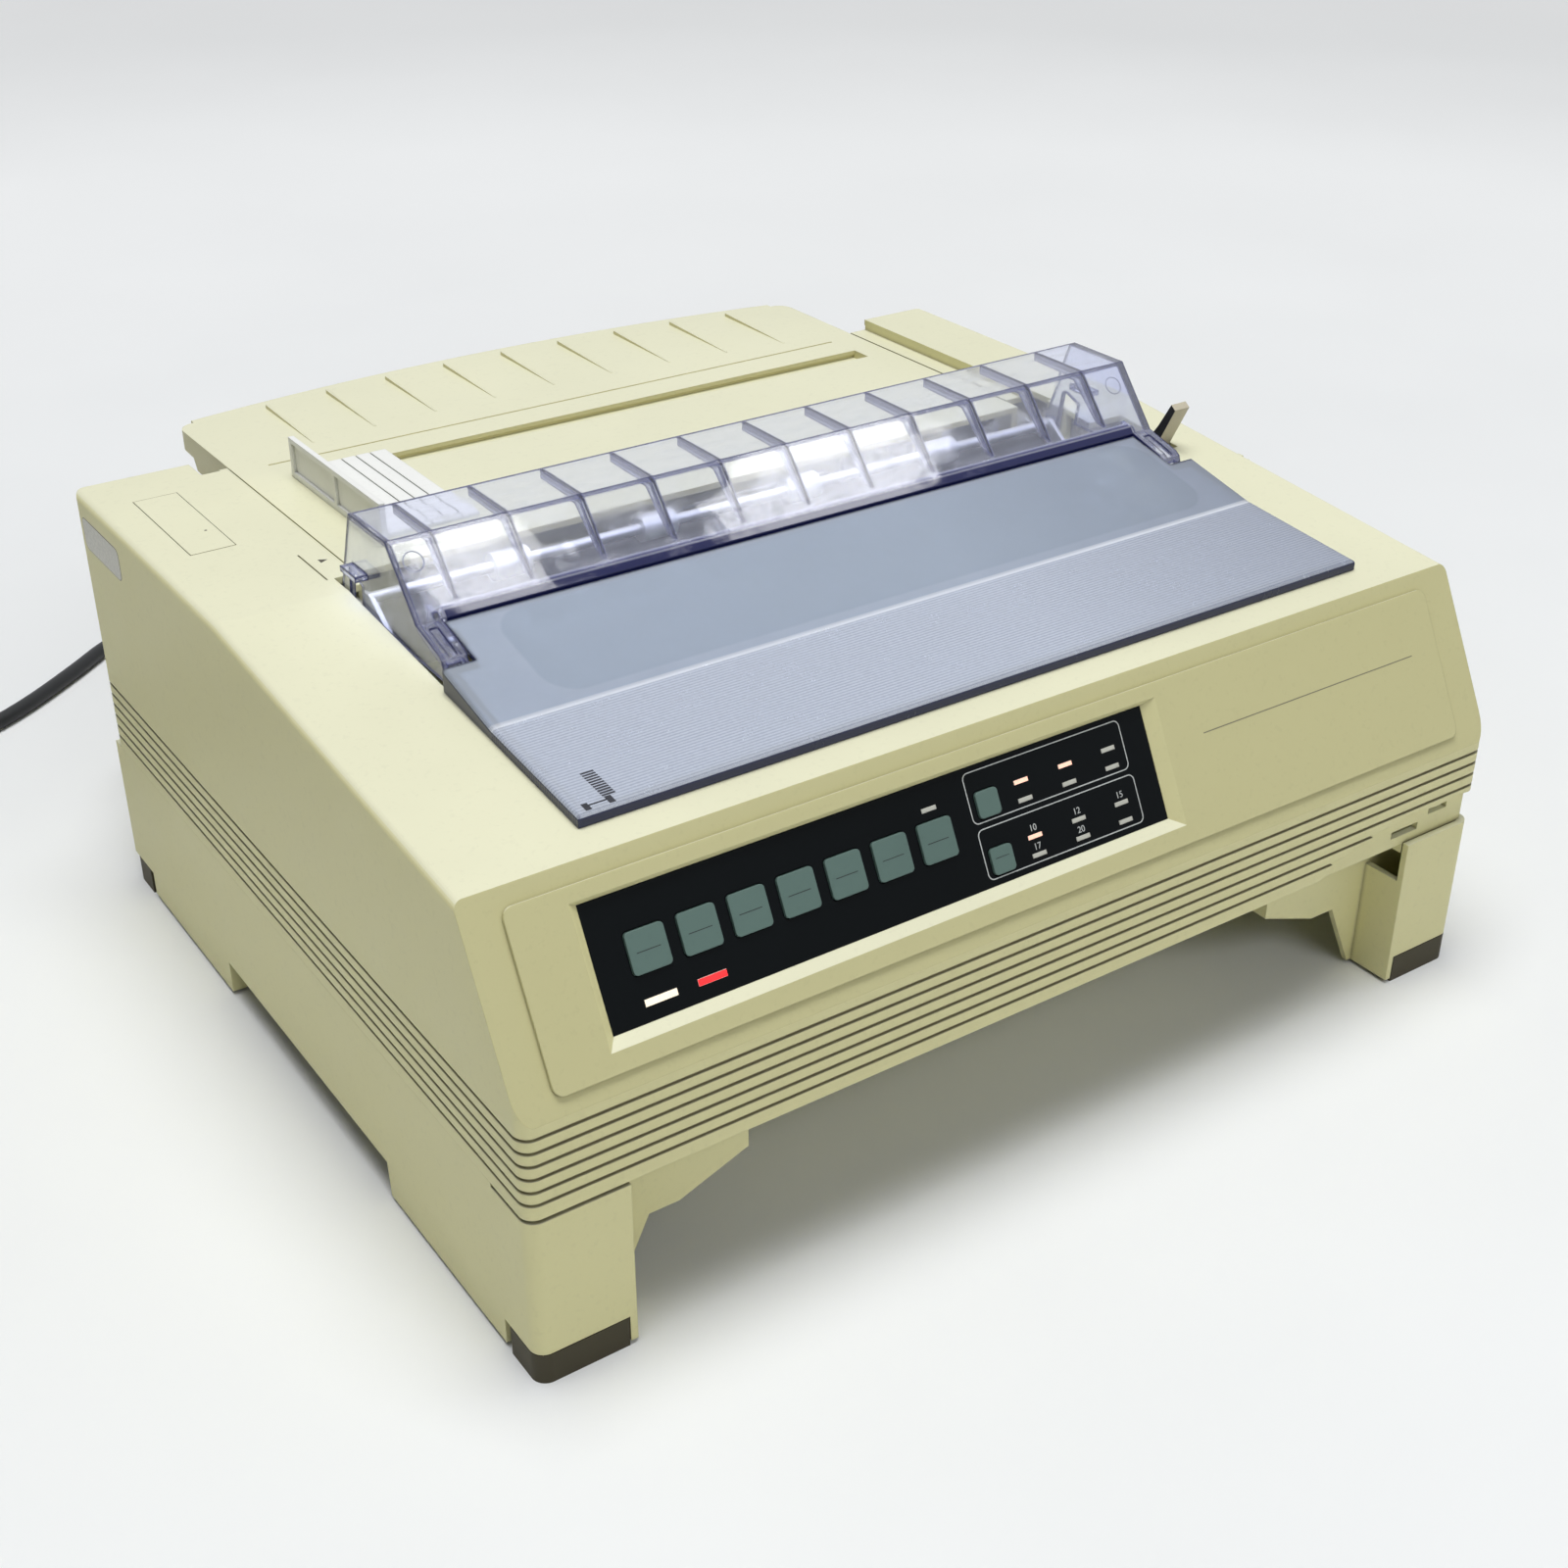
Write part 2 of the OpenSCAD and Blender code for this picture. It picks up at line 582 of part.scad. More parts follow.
module control_panel() {
    color([0.05, 0.06, 0.07]) place() on_slant() difference() {
        union() {
            translate([panel_x1 + 0.15, panel_u1 + 0.15, panel_sink - 2.1])
                cube([panel_x2 - panel_x1 - 0.3, panel_u2 - panel_u1 - 0.3, 2.1]);
            translate([panel_x1 - 4, panel_u1 - 3, -wall - 2.1])
                cube([panel_x2 - panel_x1 + 8, panel_u2 - panel_u1 + 5, 1.5]);
        }
        for (x = key_x)
            translate([0, 0, -9]) linear_extrude(12)
                round_rect(x - key_size / 2 - 0.25, x + key_size / 2 + 0.25, key_u - key_size / 2 - 0.25,
                    key_u + key_size / 2 + 0.25, 1.6);
        for (u = small_u)
            translate([0, 0, -9]) linear_extrude(12)
                round_rect(small_x - small_size / 2 - 0.25, small_x + small_size / 2 + 0.25,
                    u - small_size / 2 - 0.25, u + small_size / 2 + 0.25, 1.6);
        for (p = led_at)
            translate([p[0] - 2.85, p[1] - 0.75, panel_sink - 0.8]) cube([5.7, 1.5, 3]);
        for (i = [0, 1])
            translate([key_x[i] - marker_wide[i] / 2, marker_u - 1.2, panel_sink - 0.8]) cube([marker_wide[i], 2.4, 3]);
    }
    // switch board behind the panel
    color([0.15, 0.35, 0.2]) place() on_slant()
        translate([panel_x1 - 4, panel_u1 - 3, -wall - 6.1]) cube([panel_x2 - panel_x1 + 8, panel_u2 - panel_u1 + 5, 1.6]);
    color([0.15, 0.35, 0.2]) place() on_slant()
        for (x = [panel_x1 - 4, panel_x2 + 1])
            translate([x, panel_u1 - 3, -wall - 5]) cube([3, panel_u2 - panel_u1 + 5, 3.2]);
}

module led_windows() {
    color([0.85, 0.85, 0.80]) place() on_slant() {
        for (p = led_at)
            translate([p[0] - 2.8, p[1] - 0.7, panel_sink - 0.8]) cube([5.6, 1.4, 0.95]);
        for (i = [0, 1])
            translate([key_x[i] - marker_wide[i] / 2 + 0.1, marker_u - 1.1, panel_sink - 0.8])
                cube([marker_wide[i] - 0.2, 2.2, 0.9]);
    }
}

// ---------------------------------------------------------------- rear sheet support

slot_x1 = support_left + 17;
slot_x2 = support_right - 12.5;
slot_y1 = 309;
slot_y2 = 319;

rib_first = cover_mid - 106.5;
rib_pitch = 28.1;

module support_plan() {
    intersection() {
        translate([support_left, support_front]) square([support_right - support_left, support_rear + 8 - support_front]);
        translate([bow_mid, support_rear - bow_radius]) circle(bow_radius, $fn = 360);
    }
}

module sheet_support() {
    color([0.89, 0.88, 0.76]) place() difference() {
        union() {
            translate([0, 0, support_top - support_thick]) linear_extrude(support_thick) support_plan();
            // side skirts that hang over the rear wall
            for (x = [support_left, support_right - 2])
                along_x(x, x + 2) polygon([[case_depth + 6, support_top - 1], [support_side - 3, support_top - 1],
                    [support_side - 3, support_top - 8], [support_side - 17, support_top - 8.6],
                    [support_side - 20, support_top - 13.5], [case_depth + 6, support_top - 13.5]]);
            // lip along the bowed rear edge
            translate([0, 0, support_top - 8]) linear_extrude(7) difference() {
                support_plan();
                translate([bow_mid, support_rear - bow_radius]) circle(bow_radius - 2.5, $fn = 360);
            }
            // stiffening ribs underneath
            for (i = [-1 : 1]) {
                x = cover_mid - 6 + i * 70;
                box(x, x + 2, support_front + 20, bow_y(x) - 2, support_top - 6, support_top - 1);
            }
            // thick strip that carries the groove of the sheet guide
            box(slot_x1 - 2, slot_x2 + 2, slot_y1 - 4, slot_y2 + 4, support_top - 5.2, support_top - 1);
            // hinge ears and pins
            for (x = [support_left, support_right - 3])
                along_x(x, x + 3) polygon([[support_front, support_top - 1], [support_front + 12, support_top - 1],
                    [support_front + 8, support_pivot_z - 4.5], [support_front, support_pivot_z - 4.5]]);
            pin_x(frame_left - 0.5, support_left + 1, support_pivot_y, support_pivot_z, 2.5);
            pin_x(support_right - 1, frame_right + frame_thick + 0.5, support_pivot_y, support_pivot_z, 2.5);
            // sheet ribs, high at the rear and running out forward
            for (i = [0 : 8]) {
                x = rib_first + i * rib_pitch;
                along_x(x - 0.5, x + 0.5) polygon([[bow_y(x) - 56, support_top - 0.5], [bow_y(x) - 8, support_top - 0.5],
                    [bow_y(x) - 8, support_top + 1.5], [bow_y(x) - 56, support_top + 0.1]]);
            }
        }
        // groove of the sheet guide, undercut at both sides
        box(slot_x1, slot_x2, slot_y1, slot_y2, support_top - 3.4, support_top + 1);
        box(slot_x1, slot_x2, slot_y1 - 1.2, slot_y2 + 1.2, support_top - 3.4, support_top - 1.8);
        // step line across the support
        box(support_left + 14, support_right - 14, 334, 335, support_top - 0.5, support_top + 1);
        // rounded rear corners
        for (s = [-1, 1]) {
            x = s < 0 ? support_left : support_right;
            translate([x - s * 7, bow_y(x) - 8.5, support_top - 20]) difference() {
                translate([s < 0 ? -9 : 0, 0, 0]) cube([9, 12, 30]);
                translate([0, 0, -1]) cylinder(h = 32, r = 7, $fn = 48);
            }
        }
    }
}

guide_x = slot_x1 + 1;
module sheet_guide() {
    color([0.88, 0.88, 0.86]) place() {
        difference() {
            box(guide_x - 1, guide_x + 1.2, 237, 318, support_top + 0.1, support_top + 16);
            // framed field on the outer face
            box(guide_x - 2, guide_x + 0.1, 239.5, 276, support_top + 2.5, support_top + 14);
            box(guide_x - 2, guide_x + 0.1, 278, 315.5, support_top + 2.5, support_top + 14);
        }
        difference() {
            box(guide_x, guide_x + 39, 240, slot_y2 + 2, support_top + 0.1, support_top + 1.7);
            for (i = [0 : 2])
                box(guide_x + 20 + i * 6, guide_x + 20.6 + i * 6, 239, slot_y2 + 3, support_top + 1.2, support_top + 2);
        }
        // tongue in the groove, with its foot in the undercut
        box(guide_x + 4, guide_x + 34, slot_y1 + pass_gap, slot_y2 - pass_gap, support_top - 3.1, support_top + 0.5);
        box(guide_x + 4, guide_x + 34, slot_y1 - 0.8, slot_y2 + 0.8, support_top - 3.1, support_top - 2.1);
    }
}

// ---------------------------------------------------------------- clear covers

arm_wide = 9;
hump_low = case_height - 3;
ear_top = up(0.276);
// height at a share of the drop of the arms to the deck
function arm_z(share) = face_foot_z - share * (face_foot_z - deck_z(arm_front_y));
rib_count = 11;
rib_step = (hump_x2 - hump_x1 - 36.8) / (rib_count - 1);
// rear slope of the hump at a height
function hump_back(z) = crest_rear_y + (hump_rear - crest_rear_y) * (cover_height - z) / (cover_height - hump_low);

module hump_profile() {
    polygon([[hump_rear, hump_low], [crest_rear_y, cover_height], [ridge_y, cover_height],
        [face_foot_y, face_foot_z], [arm_front_y + 3, arm_z(0.31)],
        [arm_front_y + 0.9, arm_z(0.42)], [arm_front_y, arm_z(0.61)],
        [arm_front_y, deck_z(arm_front_y) + 0.6], [150, deck_z(150) - 1]]);
}

module top_cover() {
    w = cover_wall;
    color([0.62, 0.66, 0.82, 0.45]) place() {
        difference() {
            along_x(hump_x1, hump_x2) hump_profile();
            // hollow, open below and to the rear
            along_x(hump_x1 + w, hump_x2 - w) polygon([[arm_front_y + w, hump_low - 20], [arm_front_y + w, arm_z(0.59)],
                [face_foot_y + 0.6, face_foot_z - 2.2], [ridge_y + 1.1, cover_height - w], [open_rear + 28, cover_height - w],
                [open_rear + 28, hump_low - 20]]);
            // place of the front plate between the arms
            along_x(hump_x1 + arm_wide, hump_x2 - arm_wide) polygon([[100, hump_low - 20], [100, face_foot_z - 0.05],
                [face_foot_y - 0.05, face_foot_z - 0.05], [face_foot_y - 0.05, hump_low - 20]]);
            // groove along the top of each arm
            for (x = [hump_x1 + 3, hump_x2 - 6])
                along_x(x, x + 3) polygon([[arm_front_y - 1, arm_z(0.45)], [face_foot_y - 3, face_foot_z - 1.3],
                    [face_foot_y - 3, face_foot_z + 2], [arm_front_y - 1, face_foot_z + 2]]);
            // swing of the rear edge of the front plate
            pin_x(hump_x1 + arm_wide, hump_x2 - arm_wide, plate_pivot_y, plate_pivot_z, plate_swing + pass_gap);
            // pivots of the front plate
            pin_x(hump_x1 + arm_wide - w - 1, hump_x2 - arm_wide + w + 1, plate_pivot_y, plate_pivot_z, plate_pin_r + run_gap);
            // cut-out around the side tabs
            for (x = [hump_x1 - 1, hump_x2 - w - 1])
                along_x(x, x + w + 2) polygon([[192, case_height - 10], [190, up(0.17)], [197, up(0.26)],
                    [200, up(0.26)], [hump_rear + 6, case_height], [hump_rear + 6, case_height - 10]]);
        }
        // inner walls of the arms
        difference() {
            for (x = [hump_x1 + arm_wide - w, hump_x2 - arm_wide])
                along_x(x, x + w) polygon([[arm_front_y, arm_z(0.72)], [arm_front_y, arm_z(0.61)],
                    [arm_front_y + 0.9, arm_z(0.42)], [arm_front_y + 3, arm_z(0.31)], [face_foot_y, face_foot_z - 0.2], [face_foot_y + 8, face_foot_z + 2], [face_foot_y + 8, deck_z(150) + 2.2]]);
            pin_x(hump_x1, hump_x2, plate_pivot_y, plate_pivot_z, plate_pin_r + run_gap);
        }
        // paper ribs under the top and behind the face
        for (i = [0 : rib_count - 1])
            along_x(hump_x1 + 15.9 + i * rib_step, hump_x1 + 17.1 + i * rib_step) polygon([[ridge_y + 0.8, cover_height - w + 0.2],
                [crest_rear_y, cover_height - w + 0.2], [crest_rear_y, cover_height - w - 3],
                [ridge_y + 5, cover_height - w - 3.5], [face_foot_y + 9, up(0.36)],
                [face_foot_y + 4.4, up(0.34)]]);
        // finger tabs on both sides
        for (s = [-1, 1])
            box(s < 0 ? hump_x1 - 4.5 : hump_x2 - 0.5, s < 0 ? hump_x1 + 0.5 : hump_x2 + 4.5, 184, 196,
                up(0.33), up(0.33) + 2);
        // ears with the pivot pins
        for (s = [-1, 1]) {
            x = s < 0 ? hump_x1 : hump_x2 - w;
            along_x(x, x + w) polygon([[199, ear_top], [hump_back(ear_top), ear_top], [hump_rear, hump_low],
                [hump_pivot_y + 3, hump_pivot_z], [hump_pivot_y + 1.5, hump_pivot_z - 3.5],
                [hump_pivot_y - 4, hump_pivot_z - 3.5]]);
            pin_x(s < 0 ? open_left - 3.2 : hump_x2 - 1, s < 0 ? hump_x1 + 1 : open_right + 3.2, hump_pivot_y, hump_pivot_z,
                hump_pin_r);
        }
    }
}

plate_x1 = hump_x1 - 2.3;
plate_x2 = hump_x2 + 2.3;
plate_front = 43;
crease_y = 96;
wide_rear = arm_front_y - 4;
plate_rear = face_foot_y - 0.8;
rear_slope = (face_foot_z - 0.85 - deck_z(crease_y) - plate_height) / (plate_rear - crease_y);
function plate_z(y) = deck_z(min(y, crease_y)) + plate_height + max(y - crease_y, 0) * rear_slope;
plate_edge = 1.5;
plate_rim = 4;
// reach of the rear edge of the front plate from its pivot
plate_swing = norm([plate_rear - plate_pivot_y, plate_z(plate_rear) - plate_pivot_z]);

// material outside a rounded side edge of the front plate, from y1 to y2
module edge_cut(s, rise, y1, y2) {
    r = plate_edge;
    translate([s > 0 ? plate_x2 : plate_x1, y1, plate_z(crease_y) - (crease_y - y1) * rise])
        rotate([atan(rise), 0, 0]) along_y(0, (y2 - y1) / cos(atan(rise)))
            polygon(concat([for (a = [0 : 22.5 : 90]) [s * (r * cos(a) - r + 0.03), r * sin(a) - r + 0.03]],
                [[-s * r, 3], [s * 2, 3], [s * 2, -r]]));
}

module front_plate() {
    w = cover_wall;
    inner_x1 = hump_x1 + arm_wide + 0.5;
    inner_x2 = hump_x2 - arm_wide - 0.5;
    color([0.60, 0.64, 0.74, 0.5]) place() {
        difference() {
            along_x(plate_x1, plate_x2) polygon(concat([[plate_front, deck_z(plate_front) + 0.3]],
                [for (a = [0 : 22.5 : 90]) [plate_front + plate_edge * (1 - cos(a)),
                    plate_z(plate_front + plate_edge) - plate_edge * (1 - sin(a))]],
                [[crease_y, plate_z(crease_y)], [wide_rear, plate_z(wide_rear)], [wide_rear, deck_z(wide_rear) + 0.3]]));
            along_x(plate_x1 + plate_rim, plate_x2 - plate_rim) polygon([[plate_front + plate_rim, deck_z(plate_front) - 5],
                [plate_front + plate_rim, plate_z(plate_front + plate_rim) - w], [crease_y, plate_z(crease_y) - w],
                [wide_rear - w, plate_z(wide_rear - w) - w], [wide_rear - w, deck_z(plate_front) - 5]]);
            // open behind, between the arms
            along_x(inner_x1, inner_x2) polygon([[wide_rear - w - 1, deck_z(plate_front) - 5],
                [wide_rear - w - 1, plate_z(wide_rear - w - 1) - w], [wide_rear + 1, plate_z(wide_rear + 1) - w],
                [wide_rear + 1, deck_z(plate_front) - 5]]);
            // rounded side edges, along the slope and along the raised part
            for (s = [-1, 1]) {
                edge_cut(s, slope, plate_front - 5, crease_y + 0.3);
                edge_cut(s, rear_slope, crease_y, wide_rear + 5);
            }
        }
        // narrow part between the arms
        along_x(inner_x1, inner_x2) polygon([[wide_rear - 0.5, plate_z(wide_rear - 0.5)],
            [plate_rear, plate_z(plate_rear)], [plate_rear, plate_z(plate_rear) - w],
            [wide_rear - 0.5, plate_z(wide_rear - 0.5) - w]]);
        // ears with the pivot pins
        for (x = [inner_x1, inner_x2 - w])
            along_x(x, x + w) polygon([[plate_pivot_y - 6, plate_z(plate_pivot_y - 6) - w + 0.2],
                [plate_pivot_y + 4, plate_z(plate_pivot_y + 4) - w + 0.2], [plate_pivot_y + 2.6, plate_pivot_z - 2.6],
                [plate_pivot_y - 2.6, plate_pivot_z - 2.6]]);
        pin_x(hump_x1 + arm_wide - w - 0.5, inner_x1 + 0.5, plate_pivot_y, plate_pivot_z, plate_pin_r);
        pin_x(inner_x2 - 0.5, hump_x2 - arm_wide + w + 0.5, plate_pivot_y, plate_pivot_z, plate_pin_r);
    }
}

// ---------------------------------------------------------------- lever

module release_lever() {
    z = lever_pivot_z;
    color([0.72, 0.70, 0.62]) place() {
        // handle above the gears, leaning forward
        along_x(lever_x2 - 7.5, lever_x2) polygon([[158, z + 19], [155.2, z + 24], [150.6, z + 33], [145.4, z + 43.4],
            [147.7, z + 45.2], [153.4, z + 35.5], [160.8, z + 25], [163, z + 19]]);
        // shank beside the gears
        difference() {
            union() {
                along_x(lever_x1, lever_x2) polygon([[162, z], [158, z + 19], [157, z + 23], [162.1, z + 23],
                    [164, z + 19], [170, z + 6], [170, z]]);
                pin_x(lever_x1, lever_x2, lever_pivot_y, z, 5);
            }
            pin_x(lever_x1 - 1, lever_x2 + 1, lever_pivot_y, z, 3 + run_gap);
        }
    }
}

// ---------------------------------------------------------------- chassis

module base_pan() {
    color([0.72, 0.74, 0.76]) place() {
        difference() {
            box(frame_left, frame_right + frame_thick, 60, case_depth - 41, pan_z, pan_z + pan_thick);
            floor_slots(pan_z - 1, pan_z + 3);
        }
        // shelf of the lever pivot and the feed motor
        box(frame_right + frame_thick, half - 7, 150, 250, pan_z, pan_z + pan_thick);
        box(lever_x2 + 0.6, lever_x2 + 2.1, 154, 178, pan_z, lever_pivot_z + 7);
        pin_x(lever_x1, lever_x2 + 1, lever_pivot_y, lever_pivot_z, 3);
        // brackets of the carriage motor and of the end pulley
        box(pulley_left - 18, pulley_left + 24, belt_y - 30, belt_y - 28.5, pan_z, motor_top + 1.5);
        difference() {
            box(pulley_left - 18, pulley_left + 24, belt_y - 30, belt_y + 24, motor_top, motor_top + 1.5);
            translate([pulley_left, belt_y, motor_top - 1]) cylinder(h = 4, r = 7.1, $fn = 40);
        }
        box(pulley_right - 12, pulley_right + 10, belt_y - 20, belt_y - 18.5, pan_z, belt_z - 3);
        box(pulley_right - 12, pulley_right + 10, belt_y - 20, belt_y + 8, belt_z - 4.5, belt_z - 3);
        translate([pulley_right, belt_y, belt_z - 3.5]) cylinder(h = belt_high + 5, r = pulley_shaft_r, $fn = 24);
        // standoffs of the board
        for (x = [board_x1 + 8, board_x2 - 8], y = [board_y1 + 8, board_y2 - 8])
            translate([x, y, pan_z]) cylinder(h = board_lift, d = 6, $fn = 24);
    }
}

module frame_outline() {
    z = platen_height;
    polygon([[96, frame_z], [96, z - 12], [140, z - 10], [176, z - 6], [180, z + 9], [196, z + 9], [200, z + 15],
        [216, z + 15], [219, support_pivot_z + 4.3], [233, support_pivot_z + 4.3], [240, z + 4], [272, z],
        [276, frame_z]]);
}

module side_frame(x1) {
    difference() {
        along_x(x1, x1 + frame_thick) frame_outline();
        pin_x(x1 - 1, x1 + 3, platen_y, platen_height, platen_shaft_r + run_gap);
        pin_x(x1 - 1, x1 + 3, tractor_y, tractor_z, 3 + run_gap);
        pin_x(x1 - 1, x1 + 3, support_pivot_y, support_pivot_z, 2.5 + run_gap);
        pin_x(x1 - 1, x1 + 3, bail_pivot_y, bail_pivot_z, 2 + run_gap);
        pin_x(x1 - 1, x1 + 3, rail_y, rail_z, 4);
        // lightening window
        box(x1 - 1, x1 + 3, 200, 240, frame_z + 17, frame_z + 43);
    }
}

module left_frame() {
    color([0.74, 0.76, 0.78]) place() {
        side_frame(frame_left);
        box(frame_left + frame_thick - 0.1, frame_left + 6, 96, 270, frame_z, frame_z + 1.2);
    }
}

module right_frame() {
    x = frame_right + frame_thick;
    color([0.74, 0.76, 0.78]) place() {
        difference() {
            union() {
                side_frame(frame_right);
                // arm and long bearing of the knob shaft
                along_x(frame_right, x) polygon([[knob_y - 10, knob_z - 12], [knob_y - 6, knob_z + 7],
                    [knob_y + 6, knob_z + 7], [knob_y + 14, knob_z - 12]]);
                pin_x(x - 0.1, gear_x - pass_gap, knob_y, knob_z, 5.5);
            }
            pin_x(frame_right - 1, gear_x + 1, knob_y, knob_z, 3 + run_gap);
        }
        box(frame_right - 4.5, frame_right + 0.1, 96, 270, frame_z, frame_z + 1.2);
        // studs of the intermediate gears
        for (p = [[idler_r, train_angle], [step_r, step_angle]]) {
            pin_x(x - 0.1, gear_x + gear_wide + 0.3, at_y(p[0], p[1]), at_z(p[0], p[1]), 3);
            pin_x(x - 0.1, gear_x - pass_gap, at_y(p[0], p[1]), at_z(p[0], p[1]), 5);
        }
        // posts of the feed motor
        for (a = [210, 330])
            pin_x(x - 0.1, gear_x + gear_wide + 3, pinion_y + 14 * cos(a), pinion_z + 14 * sin(a), 2.5);
    }
}

module carriage_rail() {
    color([0.80, 0.81, 0.83]) place() {
        pin_x(frame_left + frame_thick, frame_right, rail_y, rail_z, rail_r);
        pin_x(frame_left - 1, frame_right + frame_thick + 1, rail_y, rail_z, 4);
    }
}

module carriage_guide() {
    color([0.72, 0.74, 0.76]) place() {
        along_x(frame_left + frame_thick, frame_right) polygon([[guide_y - 12, guide_z - 1], [guide_y - 12, guide_z - 14],
            [guide_y - 10.8, guide_z - 14], [guide_y - 10.8, guide_z - 2.2], [guide_y, guide_z - 2.2], [guide_y, guide_z - 1]]);
    }
}

// ---------------------------------------------------------------- carriage

module carriage() {
    x1 = carriage_x - carriage_width / 2;
    x2 = carriage_x + carriage_width / 2;
    color([0.10, 0.10, 0.11]) place() difference() {
        union() {
            // bearing block on the rail
            box(x1, x2, rail_y - 10, rail_y + 10, rail_z - 9, rail_z + 9.5);
            // platform under head and cartridge
            box(x1, x2, guide_y - 6, rail_y + 30, rail_z + 9, rail_z + 12);
            // foot that slides on the front guide
            box(x1 + 8, x2 - 8, guide_y - 6, guide_y - 1, guide_z - 0.7, rail_z + 10);
            // posts that hold the cartridge
            box(x1, x1 + 3, rail_y - 30, rail_y - 12, rail_z + 11, ribbon_z);
            box(x2 - 3, x2, rail_y - 30, rail_y - 12, rail_z + 11, ribbon_z);
        }
        pin_x(x1 - 1, x2 + 1, rail_y, rail_z, rail_r + run_gap);
    }
}

module print_head() {
    color([0.22, 0.23, 0.25]) place() {
        // finned body
        difference() {
            box(carriage_x - 17, carriage_x + 17, 141, 172, rail_z + 12, ribbon_z - 0.8);
            for (i = [0 : 5])
                box(carriage_x - 14.5 + i * 5, carriage_x - 12 + i * 5, 140, 166, rail_z + 17, ribbon_z);
        }
        // nose towards the platen
        along_y(172, 184) polygon([[carriage_x - 11, rail_z + 12], [carriage_x + 11, rail_z + 12],
            [carriage_x + 8, ribbon_z - 0.8], [carriage_x - 8, ribbon_z - 0.8]]);
        box(carriage_x - 3.5, carriage_x + 3.5, 184, platen_y - platen_r - 1.2, ribbon_z - 8, ribbon_z + 6);
    }
}

module ribbon_cartridge() {
    color([0.13, 0.13, 0.14]) place() {
        difference() {
            union() {
                translate([0, 0, ribbon_z]) linear_extrude(11)
                    round_rect(carriage_x - 38, carriage_x + 38, 110, 164, 4);
                // arms to both sides of the nose
                box(carriage_x - 38, carriage_x - 29, 160, 188, ribbon_z + 1, ribbon_z + 10);
                box(carriage_x + 29, carriage_x + 38, 160, 188, ribbon_z + 1, ribbon_z + 10);
            }
            // label field and drive hub
            box(carriage_x - 24, carriage_x + 14, 118, 146, ribbon_z + 10.4, ribbon_z + 13);
            translate([carriage_x + 27, 130, ribbon_z + 9]) cylinder(h = 5, r = 7, $fn = 36);
        }
        translate([carriage_x + 27, 130, ribbon_z + 8]) cylinder(h = 4.5, r = 5, $fn = 8);
        // the ribbon between the arms
        box(carriage_x - 30, carriage_x - 4.2, 186.5, 187, ribbon_z + 2, ribbon_z + 9);
        box(carriage_x + 4.2, carriage_x + 30, 186.5, 187, ribbon_z + 2, ribbon_z + 9);
    }
}

module carriage_belt() {
    color([0.08, 0.08, 0.08]) place() translate([0, 0, belt_z]) linear_extrude(belt_high) difference() {
        union() {
            translate([pulley_left, belt_y - pulley_r - belt_thick])
                square([pulley_right - pulley_left, 2 * (pulley_r + belt_thick)]);
            translate([pulley_left, belt_y]) circle(pulley_r + belt_thick, $fn = 48);
            translate([pulley_right, belt_y]) circle(pulley_r + belt_thick, $fn = 48);
        }
        union() {
            translate([pulley_left, belt_y - pulley_r - 0.05])
                square([pulley_right - pulley_left, 2 * pulley_r + 0.1]);
            translate([pulley_left, belt_y]) circle(pulley_r + 0.05, $fn = 48);
            translate([pulley_right, belt_y]) circle(pulley_r + 0.05, $fn = 48);
        }
    }
}

module carriage_motor() {
    color([0.45, 0.46, 0.48]) place() translate([pulley_left, belt_y, 0]) {
        translate([0, 0, motor_top - 22]) cylinder(h = 22, r = 19, $fn = 64);
        translate([0, 0, motor_top - 0.1]) cylinder(h = 4, r = 7, $fn = 40);
        translate([0, 0, motor_top]) cylinder(h = belt_z + belt_high + 2 - motor_top, r = pulley_shaft_r, $fn = 24);
    }
}

module pulley(x) {
    color([0.78, 0.72, 0.52]) place() translate([x, belt_y, 0]) difference() {
        union() {
            translate([0, 0, belt_z - 1.5]) cylinder(h = 1.2, r = pulley_r + 2, $fn = 48);
            translate([0, 0, belt_z - 0.4]) cylinder(h = belt_high + 0.8, r = pulley_r, $fn = 48);
            translate([0, 0, belt_z + belt_high + 0.3]) cylinder(h = 1.2, r = pulley_r + 2, $fn = 48);
        }
        translate([0, 0, belt_z - 4]) cylinder(h = 20, r = pulley_shaft_r + run_gap, $fn = 24);
    }
}
module motor_pulley() pulley(pulley_left);
module end_pulley() pulley(pulley_right);

// ---------------------------------------------------------------- paper path

module platen() {
    color([0.12, 0.12, 0.13]) place() {
        pin_x(platen_left, platen_right, platen_y, platen_height, platen_r);
        pin_x(frame_left - 2, gear_x + gear_wide + 1.5, platen_y, platen_height, platen_shaft_r);
    }
}

module platen_gear() {
    color([0.90, 0.88, 0.80]) place()
        gear(teeth_platen, train_angle, gear_x, gear_x + gear_wide, platen_y, platen_height, platen_shaft_r);
}

module idler_gear() {
    color([0.90, 0.88, 0.80]) place()
        gear(teeth_idler, train_angle - 180 + 180 / teeth_idler, gear_x, gear_x + gear_wide,
            at_y(idler_r, train_angle), at_z(idler_r, train_angle), 3 + run_gap);
}

